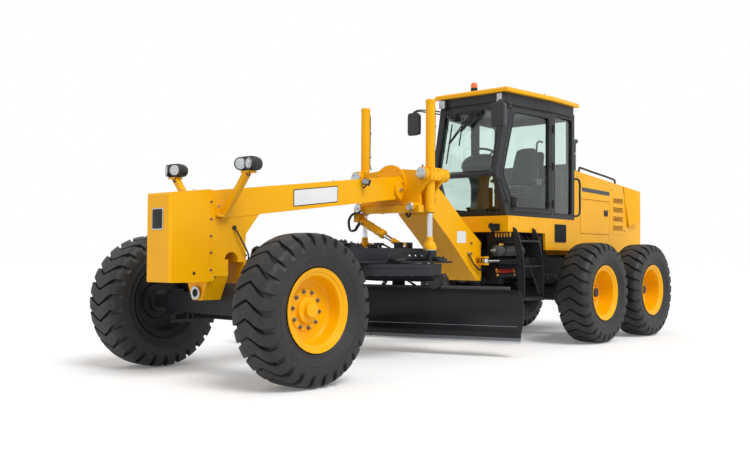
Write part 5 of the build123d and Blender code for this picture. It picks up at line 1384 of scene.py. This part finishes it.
def draw_ladders(bm):
    """Stiles that lean out from the deck and hang upright, tread plates with raised edges, and a stay."""
    out, x0 = 818, -629
    for side in SIDES:
        line = [(650, 1510), (700, 1462), (770, 1280), (808, 1085), (818, 610)]
        for end in (x0 + 235, x0 - 235):
            rings = []
            for y, z in [(650, 1520), (690, 1500), (742, 1400), (790, 1200), (808, 1080), (818, 900), (818, 610)]:
                deep = 92 if z < 1450 else 60
                rings.append(ring_of(bm, [(end - 10, side * y, z), (end + 10, side * y, z), (end + 10, side * (y - deep), z - 14),
                                          (end - 10, side * (y - deep), z - 14)]))
            skin(bm, rings, index=CHARCOAL)
        for z, y in ((610, 818), (1010, 806), (1330, 698 + 60)):
            case(bm, x0 - 235, x0 + 235, side * y, side * (y - 87), z, z + 22, 4, CHARCOAL)
            for k in range(11):
                x = x0 - 210 + 42 * k
                slab(bm, rounded(5, 30, 4), (x, side * (y - 43), z + 21), (0, 0, 1), 5, 1.5, CHARCOAL, up=(0, 1, 0))
        rod(bm, (x0 - 228, side * 770, 636), (x0 + 20, side * 770, 1008), 8, 10, CHARCOAL)
        for end in (x0 + 235, x0 - 235):
            for z in (1440, 1480):
                hex_bolt(bm, (end, side * 668, z), (0, side, 0), 15, ZINC)


def louvre(bm, x0, x1, z0, z1, side, count, y=545.0):
    """Pressed slots one over another, each with a lip that leans out."""
    pitch = (z1 - z0) / count
    for k in range(count):
        z = z0 + pitch * (k + 0.5)
        panel(bm, [(x0, z - pitch * 0.28), (x0, z + pitch * 0.2), (x1, z + pitch * 0.2), (x1, z - pitch * 0.28)], side * y, side,
              1.2, SEAL, 0.3)
        lip = []
        for out, up in ((0, 0.46), (13, 0.1), (14, 0.02), (12, 0.02), (0, 0.34)):
            lip.append([(x1, side * (y + out), z + pitch * up), (x0, side * (y + out), z + pitch * up)])
        rings = [ring_of(bm, [edge[0] for edge in lip]), ring_of(bm, [edge[1] for edge in lip])]
        skin(bm, rings, index=ENAMEL)


HOOD_REAR = HOOD_LOW.x


def draw_hood_trim(bm):
    """Louvres, framed panel, grab rail flanges, seams, caps and the tail's grille and lamps."""
    for side in SIDES:
        y = side * 545
        frame_line = round_corners([(-3440, 1500), (-3440, 2105), (-3815, 2080), (-3815, 1500)], 24)
        panel(bm, frame_line, y, side, 4, ENAMEL)
        for z0, z1 in ((1985, 2062), (1845, 1922), (1705, 1782), (1565, 1642)):
            louvre(bm, -3790, -3465, z0, z1, side, 4, 549)
        seam = [(-2200, 1200), (-2200, 2385)]
        tube_along(bm, [(x, y + side * 0.5, z) for x, z in seam], 3, 6, SEAL, 1)
        for x, z in ((-2290, 2300), (-2290, 1650), (-3400, 2180), (-3860, 1560), (-2290, 1300), (-3000, 1300), (-3900, 1300)):
            hex_bolt(bm, (x, y, z), (0, side, 0), 15, DARK_ZINC)
        stripe = round_corners([(-2440, 2102), (-2440, 2162), (-3330, 2142), (-3330, 2082)], 8)
        panel(bm, stripe, y, side, 2.5, DARK_PLATE)
        # the flare's edge and its lip
        tube_along(bm, [(-3813, side * 546, 2250), (-3900, side * 546, 1940), (-3965, side * 546, 1627)], 5, 8, SEAL, 3)
        # tail lamps and reflectors
        case(bm, TAIL.x - 2, TAIL.x + 40, side * 400 - 60, side * 400 + 60, 1000, 1100, 8, SEAL)
        slab(bm, rounded(26, 40, 6), (TAIL.x - 1, side * 372, 1050), (-1, 0, 0), 8, 3, RED_LENS)
        slab(bm, rounded(22, 40, 6), (TAIL.x - 1, side * 428, 1050), (-1, 0, 0), 8, 3, AMBER)
        # hood top: flanges for the grab rails
        for x, z in ((-2530, 2372), (-3720, 2252)):
            lathe(bm, [(30, 0), (30, 5), (18, 8), (17, 14)], (x, side * 450, hood_top(x) - 1), (0, 0, 1), 24, SEAL, cap=False)
    # radiator guard at the tail
    back = HOOD_REAR
    case(bm, back - 26, back + 4, -430, 430, 1290, 2120, 8, ENAMEL)
    case(bm, back - 30, back - 10, -380, 380, 1340, 2070, 6, SEAL)
    for k in range(24):
        z = 1356 + 30 * k
        slab(bm, rounded(378, 8, 4), (back - 26, 0, z), (-1, 0, 0.35), 12, 2, CHARCOAL)
    for y in (-190, 0, 190):
        case(bm, back - 44, back - 34, y - 7, y + 7, 1345, 2065, 2, CHARCOAL)
    case(bm, back - 44, back - 22, 330, 400, 1660, 1740, 5, SEAL)
    for side in SIDES:
        for z in (1420, 1980):
            rod(bm, (back - 34, side * 418, z - 50), (back - 34, side * 418, z + 50), 12, 16, DARK_ZINC)
    slab(bm, rounded(130, 60, 8), (TAIL.x - 1, 0, 1000), (-1, 0, 0), 4, 1, PLATE)
    # caps and panels on top
    for x, y, r in ((-3300, -180, 60), (-3960, 0, 48)):
        lathe(bm, [(r + 14, -4), (r + 14, 4), (r, 8), (r - 2, 30), (r - 8, 36), (0, 38)], (x, y, hood_top(x)), (0.083, 0, 1), 40,
              SEAL)
    lid = rounded(470, 330, 30)
    slope = Vector((0.083 * -1, 0, 1))
    for x, wide, deep in ((-2900, 300, 300), (-3900, 230, 360)):
        slab(bm, rounded(deep, wide, 24), (x, 0, hood_top(x) - 3), (-0.083, 0, 1), 9, 3, ENAMEL, up=(1, 0, 0))
    louvre_top = [(-3560 - 34 * k) for k in range(5)]
    for x in louvre_top:
        slab(bm, rounded(220, 7, 5), (x, 0, hood_top(x) - 2), (-0.083, 0, 1), 8, 2, SEAL, up=(1, 0, 0))


TAIL = box_mm("rear_frame")[0]


def hood_top(x):
    """Height of the hood's top at a place along the machine."""
    front = DECK_LOW.x - 30
    return 2390 + (2215 - 2390) * (front - x) / (front - HOOD_REAR)


def draw_hood_door_trim(bm, side):
    y = side * 545
    tube = round_corners([(-2400, 1500), (-2400, 1976), (-3328, 1976), (-3328, 1500)], 20)
    tube.append(tube[0])
    tube_along(bm, [(x, y + side * 0.2, z) for x, z in tube], 2.5, 6, ENAMEL, 1)
    case(bm, -3262, -3150, y - 4, y + side * 8 + 4, 1768, 1858, 5, SEAL)
    slab(bm, rounded(30, 16, 6), (-3206, y + side * 10, 1812), (0, side, 0), 6, 2, CHARCOAL)
    rod(bm, (-3180, y + side * 8, 1840), (-3180, y + side * 16, 1840), 9, 16, ZINC)


def draw_rails(bm):
    x0, x1 = -2519, -3729
    for side in SIDES:
        y = side * 450
        z0, z1 = hood_top(x0), hood_top(x1)
        line = [(x0, y, z0 - 4), (x0 - 8, y, z0 + 58), (x0 - 30, y, z0 + 88), (x0 - 66, y, z0 + 95), (x0 - 400, y, hood_top(x0 - 400) + 96),
                (x1 + 400, y, hood_top(x1 + 400) + 96), (x1 + 66, y, z1 + 95), (x1 + 30, y, z1 + 88), (x1 + 8, y, z1 + 58),
                (x1, y, z1 - 4)]
        tube_along(bm, line, 15, 14, SEAL)


def draw_exhaust(bm):
    low, high = box_mm("exhaust_stack")
    x, y = (low.x + high.x) / 2, (low.y + high.y) / 2
    lathe(bm, [(82, -2), (82, 6), (70, 10), (58, 14), (58, 40), (54, 44), (54, 60)], (x, y, low.z), (0, 0, 1), 40, IRON, cap=False)
    muffler = [(30, 56), (74, 66), (78, 80), (78, 210), (74, 224), (34, 236)]
    top = high.z - low.z
    lathe(bm, [(30, 50), (30, top - 150)], (x, y, low.z), (0, 0, 1), 32, IRON, cap=False)
    tip = [(x, y, high.z - 170), (x, y, high.z - 110), (x - 8, y, high.z - 70), (x - 34, y, high.z - 42), (x - 66, y, high.z - 30)]
    tube_along(bm, tip, 31, 24, IRON)
    lathe(bm, [(25, 0), (31, 1), (33, 4), (33, -8)], (x - 66, y, high.z - 30), (-1, 0, 0.25), 32, IRON, cap=False)
    lathe(bm, [(31, 0), (38, 2), (38, 26), (31, 28)], (x, y, low.z + 300), (0, 0, 1), 32, ZINC, cap=False)


class GRADER_OT_rear(bpy.types.Operator):
    """Platform fittings, ladders, tanks, hood louvres, rails, exhaust and tail"""
    bl_idname = "grader.rear"
    bl_label = "Platform and hood"

    def execute(self, context):
        for name, draw, slot, replaced in (
                ("platform_fittings", draw_platform_trim, "yellow_paint", ()),
                ("valve_bay", draw_bay, "charcoal_paint", ()),
                ("air_tanks", draw_tanks, "cast_iron", ("fuel_tanks",)),
                ("ladders_with_treads", draw_ladders, "charcoal_paint", ("ladders",)),
                ("hood_fittings", draw_hood_trim, "yellow_paint", ()),
                ("hood_grab_rails", draw_rails, "black_plastic", ("hood_rails",)),
                ("exhaust_pipe", draw_exhaust, "cast_iron", ("exhaust_stack",))):
            bm = new_drawing()
            draw(bm)
            make(name, bm, "rear_frame", replaced)
        for side in SIDES:
            bm = new_drawing()
            draw_hood_door_trim(bm, side)
            make("hood_door_fittings_" + SIDE_NAMES[side], bm, "hood_door_" + SIDE_NAMES[side])
        return {"FINISHED"}


# ---- drawbar, circle and blade ----

CIRCLE_X = AXLE.x - 2200
DRIVE_TOP = box_mm("circle_drive")[1].z
BLADE_TURN = math.radians(18.5)
BOARD_LOW = 280.0
BOARD_TOP = 765.0
BOARD_FRONT = -493.0
BOARD_SAG = 118.0
BOARD_ENDS = (-2077.0, 1583.0)


def turned_with_blade(bm):
    """Carries a drawing made square about the circle's centre to where the blade stands."""
    turn = Matrix.Rotation(BLADE_TURN, 3, "Z")
    for vert in bm.verts:
        vert.co = turn @ vert.co + Vector((CIRCLE_X, 0, 0))


def board_x(z):
    half = (BOARD_TOP - BOARD_LOW) / 2
    bow = (half * half + BOARD_SAG * BOARD_SAG) / (2 * BOARD_SAG)
    return BOARD_FRONT - BOARD_SAG + bow - math.sqrt(max(0.0, bow * bow - (z - BOARD_LOW - half) ** 2))


def draw_board(bm):
    """The rolled blade with rounded upper corners, its slide rails, top ledge, bolt strip and shift lug."""
    y0, y1 = BOARD_ENDS
    corner = 95.0
    places = [y0 + corner * (1 - math.cos(math.radians(15 * k))) for k in range(7)]
    places += [y0 + corner + (y1 - y0 - 2 * corner) * k / 12 for k in range(1, 12)]
    places += [y1 - corner * (1 - math.cos(math.radians(15 * k))) for k in range(6, -1, -1)]
    rings = []
    for y in places:
        d = min(y - y0, y1 - y)
        top = BOARD_TOP if d >= corner else BOARD_TOP - corner + math.sqrt(corner ** 2 - (corner - d) ** 2)
        heights = [BOARD_LOW + (top - BOARD_LOW) * k / 16 for k in range(17)]
        front = [(board_x(z), y, z) for z in heights]
        back = [(board_x(z) - 24, y, z) for z in heights[::-1]]
        rings.append(ring_of(bm, front + back))
    skin(bm, rings, index=BOARD)
    for z in (322, 678):
        case(bm, -640, board_x(z) - 18, y0 + 60, y1 - 60, z - 26, z + 26, 4, ZINC)
    case(bm, -755, board_x(300) - 18, 1074, 1106, 244, 320, 5, CHARCOAL)
    rod(bm, (-715, 1066, 282), (-715, 1074, 282), 26, 24, ZINC)
    # top ledge
    ledge = [(-519, 758), (-513, 764), (-515, 794), (-519, 799), (-556, 799), (-560, 794), (-556, 758)]
    for ends in ((y0 + 130, -625), (-495, 495), (625, y1 - 140)):
        skin(bm, [ring_of(bm, [(x, y, z) for x, z in ledge]) for y in ends], index=IRON)
    # strip over the cutting edge, with its bolts
    def edge_x(z):
        return -463 - 30 * (z - 170) / 110
    strip = [(edge_x(226) - 6, 226), (edge_x(226) + 3, 226), (edge_x(229) + 6, 229), (edge_x(283) + 6, 283),
             (edge_x(287) + 2, 287), (edge_x(287) - 6, 287)]
    skin(bm, [ring_of(bm, [(x, y, z) for x, z in strip]) for y in (y0 + 1, y1 - 1)], index=BOARD)
    count = int((y1 - y0 - 100) / 152)
    for k in range(count + 1):
        y = y0 + 50 + (y1 - y0 - 100) * k / count
        lathe(bm, [(14, 0), (13, 4), (8, 7), (0, 8)], (edge_x(262) + 5, y, 262), (1, 0, 0.27), 14, CHARCOAL)
        hex_bolt(bm, (edge_x(262) - 26, y, 262), (-1, 0, -0.27), 26, ZINC)
    turned_with_blade(bm)


def draw_edge(bm):
    """Wear marks of the cutting edge: a ground bevel and the joint between its two sections."""
    y0, y1 = BOARD_ENDS
    bevel = [(-466, 171), (-461.5, 171), (-466, 188), (-470, 188)]
    skin(bm, [ring_of(bm, [(x, y, z) for x, z in bevel]) for y in (y0, y1)], index=ZINC)
    y = (y0 + y1) / 2
    case(bm, -477, -468.6, y - 3, y + 3, 176, 224, 0.5, SEAL)
    turned_with_blade(bm)


def draw_circle_trim(bm):
    """Teeth inside the ring, wear strip, bolts on the arms, hanging stays and their bolts."""
    inner, low, high = 690.0, 930.0, 1057.0
    for k in range(72):
        a = 2 * math.pi * k / 72
        out = Vector((math.cos(a), math.sin(a), 0))
        along = Vector((-math.sin(a), math.cos(a), 0))
        rings = []
        for z in (low + 8, high - 30):
            rings.append(ring_of(bm, [out * r + along * w + Vector((0, 0, z)) for r, w in
                                      ((inner + 4, -19), (inner - 30, -9), (inner - 30, 9), (inner + 4, 19))]))
        skin(bm, rings, index=CHARCOAL)
    for k in range(36):
        a = 2 * math.pi * (k + 0.5) / 36
        hex_bolt(bm, (738 * math.cos(a), 738 * math.sin(a), low), (0, 0, -1), 22, CHARCOAL)
    lathe(bm, [(760, 1012), (765, 1014), (765, 1046), (760, 1048)], (0, 0, 0), (0, 0, 1), 120, CHARCOAL, cap=False)
    for side in SIDES:
        y = side * 560
        for z, x in ((900, -700), (820, -740), (720, -800), (610, -850)):
            hex_bolt(bm, (x, y + side * 35, z), (0, side, 0), 26, DARK_ZINC)
        lathe(bm, [(0, 16), (40, 16), (48, 12), (50, 4), (50, 0)], (-708, y + side * 57, 395), (0, side, 0), 32, DARK_ZINC)
        tube_along(bm, [(-760, side * 480, 852), (-800, side * 300, 842), (-800, side * 120, 842), (-775, side * 60, 852)], 10, 8,
                   HOSE)
    # stays, and the swivel block between them
    case(bm, -766, -728, -70, 90, 782, 852, 8, CHARCOAL)
    for y0, y1, wide in ((-150, -195, 24), (110, 245, 20)):
        rings = []
        for y, z in ((y0, 856), (y1, 778)):
            rings.append(ring_of(bm, [(-764, y - wide, z), (-730, y - wide, z), (-730, y + wide, z), (-764, y + wide, z)]))
        skin(bm, rings, index=CHARCOAL)
        hex_bolt(bm, (-730, (y0 + y1) / 2, 818), (1, 0, 0), 20, ZINC)
    turned_with_blade(bm)


def draw_drawbar_trim(bm):
    """Rail caps and lips, bolts, valve block, swivel, gearbox covers and the circle's guide shoes."""
    for side in SIDES:
        y = side * 400
        case(bm, 850, 1770, side * 392, side * 300, 1222, 1232, 3, CHARCOAL)
        case(bm, 840, 1760, y - 3, y + side * 15 + 3 * side, 1104, 1118, 3, CHARCOAL)
        case(bm, 1190, 1520, y - 3, y + side * 10, 1172, 1182, 3, CHARCOAL)
        for x in (1180, 1290, 1400):
            lathe(bm, [(15, 0), (15, 6), (11, 10), (0, 11)], (x, y, 1144), (0, side, 0), 16, ZINC)
        # guide shoes that hold the circle up
        for x, out in ((1530 - 470, 560), (1530 + 330, 600)):
            case(bm, x - 90, x + 90, side * (out - 60), side * (out + 60), 1087, 1120, 6, CHARCOAL, 14)
            for k in (-1, 1):
                hex_bolt(bm, (x + k * 55, side * (out + 20), 1120), (0, 0, 1), 28, CHARCOAL)
                hex_bolt(bm, (x + k * 55, side * (out - 30), 1120), (0, 0, 1), 28, CHARCOAL)
        for k in range(5):
            hex_bolt(bm, (1800 + 190 * k, side * (330 - 52 * k), 1225), (0, 0, 1), 20, DARK_ZINC)
    # valve block by the far rail
    for x0, x1 in ((1110, 1220), (1400, 1560)):
        case(bm, x0, x1, -398, -306, 1230, 1282, 8, CHARCOAL)
        for x in (x0 + 30, x1 - 30):
            rod(bm, (x, -352, 1276), (x, -352, 1298), 14, 6, DARK_ZINC)
    tube_along(bm, [(1140, -352, 1290), (1060, -340, 1292), (990, -310, 1272), (930, -270, 1238)], 11, 10, HOSE)
    # swivel cap and the drive's gearbox with its motor
    lathe(bm, [(34, 0), (34, 12), (18, 16), (18, 34), (44, 40), (50, 46), (50, 60), (42, 68), (0, 70)], (1440, 0, 1225),
          (0, 0, 1), 32, SEAL)
    drive = middle("circle_drive").x
    lathe(bm, [(94, 0), (104, 2), (104, 12), (94, 14)], (drive, 0, 1249), (0, 0, 1), 48, CHARCOAL, cap=False)
    for k in range(8):
        a = 2 * math.pi * (k + 0.5) / 8
        hex_bolt(bm, (drive + 74 * math.cos(a), 74 * math.sin(a), DRIVE_TOP), (0, 0, 1), 18, DARK_ZINC)
    for y in (-190, 190):
        lathe(bm, [(52, 0), (52, 26), (44, 32), (0, 33)], (drive, y, 1249), (0, 0, 1), 32, CHARCOAL)
        hex_bolt(bm, (drive, y, 1282), (0, 0, 1), 24, DARK_ZINC)
    tube_along(bm, [(drive + 40, 150, 1262), (drive + 130, 170, 1275), (drive + 240, 190, 1262), (drive + 330, 200, 1238)], 10, 8,
               HOSE)
    # ball housing at the tongue
    low, high = box_mm("drawbar")
    lathe(bm, [(62, -14), (84, -12), (88, -6), (88, 6), (84, 12), (62, 14)], (high.x - 150, 0, 1145), (1, 0, 0), 40, CHARCOAL,
          closed=True)
    for k in range(8):
        a = 2 * math.pi * k / 8
        hex_bolt(bm, (high.x - 137, 75 * math.cos(a), 1145 + 75 * math.sin(a)), (1, 0, 0), 15, DARK_ZINC)


GOOSE_Y = 250.0


def draw_joint_trim(bm):
    """Gooseneck plate, hose arcs, pin caps and bolts round the articulation joint."""
    for side in SIDES:
        panel(bm, round_corners([(268, 1311), (268, 1457), (76, 1457), (76, 1311)], 10), side * GOOSE_Y, side, 2.5, PLATE)
        arc = [(36, side * (GOOSE_Y + 14), 1186), (10, side * (GOOSE_Y + 30), 1120), (-60, side * (GOOSE_Y + 34), 1040), (-160, side * (GOOSE_Y + 30), 985),
               (-243, side * (GOOSE_Y + 20), 971)]
        tube_along(bm, arc, 11, 10, HOSE)
        rod(bm, (36, side * (GOOSE_Y - 4), 1192), (36, side * (GOOSE_Y + 24), 1180), 15, 6, ZINC)
        for x, z in ((-40, 1310), (-40, 1180)):
            hex_bolt(bm, (x, side * GOOSE_Y, z), (0, side, 0), 24, DARK_ZINC)


class GRADER_OT_blade(bpy.types.Operator):
    """Drawbar fittings, circle teeth and stays, the rolled blade and the joint's hoses"""
    bl_idname = "grader.blade"
    bl_label = "Drawbar, circle and blade"

    def execute(self, context):
        for name, draw, body, slot, replaced in (
                ("drawbar_fittings", draw_drawbar_trim, "drawbar", "charcoal_paint", ()),
                ("circle_teeth_and_stays", draw_circle_trim, "circle", "charcoal_paint", ()),
                ("rolled_blade", draw_board, "blade", "charcoal_paint", ("moldboard",)),
                ("cutting_edge_bevel", draw_edge, "blade", "edge_steel", ()),
                ("joint_hoses_and_plates", draw_joint_trim, "front_frame", "black_plastic", ())):
            bm = new_drawing()
            draw(bm)
            make(name, bm, body, replaced)
        return {"FINISHED"}


# ---- panel, registration and the run ----

OPERATORS = [GRADER_OT_stage, GRADER_OT_finishes, GRADER_OT_wheels, GRADER_OT_front, GRADER_OT_saddle,
             GRADER_OT_cab, GRADER_OT_rear, GRADER_OT_blade]


class GRADER_PT_panel(bpy.types.Panel):
    bl_idname = "GRADER_PT_panel"
    bl_label = "Motor grader"
    bl_space_type = "VIEW_3D"
    bl_region_type = "UI"
    bl_category = "Grader"

    def draw(self, context):
        layout = self.layout
        for settings in (context.scene.grader_colours, context.scene.grader_tyres, context.scene.grader_stage):
            box = layout.box()
            for name in settings.__annotations__:
                box.prop(settings, name)
        for operator in OPERATORS:
            layout.operator(operator.bl_idname)


GROUPS = {"grader_colours": GraderColours, "grader_tyres": GraderTyres, "grader_stage": GraderStage}


def register():
    for group in GROUPS.values():
        bpy.utils.register_class(group)
    for name, group in GROUPS.items():
        setattr(bpy.types.Scene, name, bpy.props.PointerProperty(type=group))
    for part in OPERATORS + [GRADER_PT_panel]:
        bpy.utils.register_class(part)


def unregister():
    for part in [GRADER_PT_panel] + OPERATORS[::-1]:
        bpy.utils.unregister_class(part)
    for name in GROUPS:
        delattr(bpy.types.Scene, name)
    for group in GROUPS.values():
        bpy.utils.unregister_class(group)


def main():
    register()
    for operator in OPERATORS:
        group, name = operator.bl_idname.split(".")
        getattr(getattr(bpy.ops, group), name)()


if __name__ == "__main__":
    main()
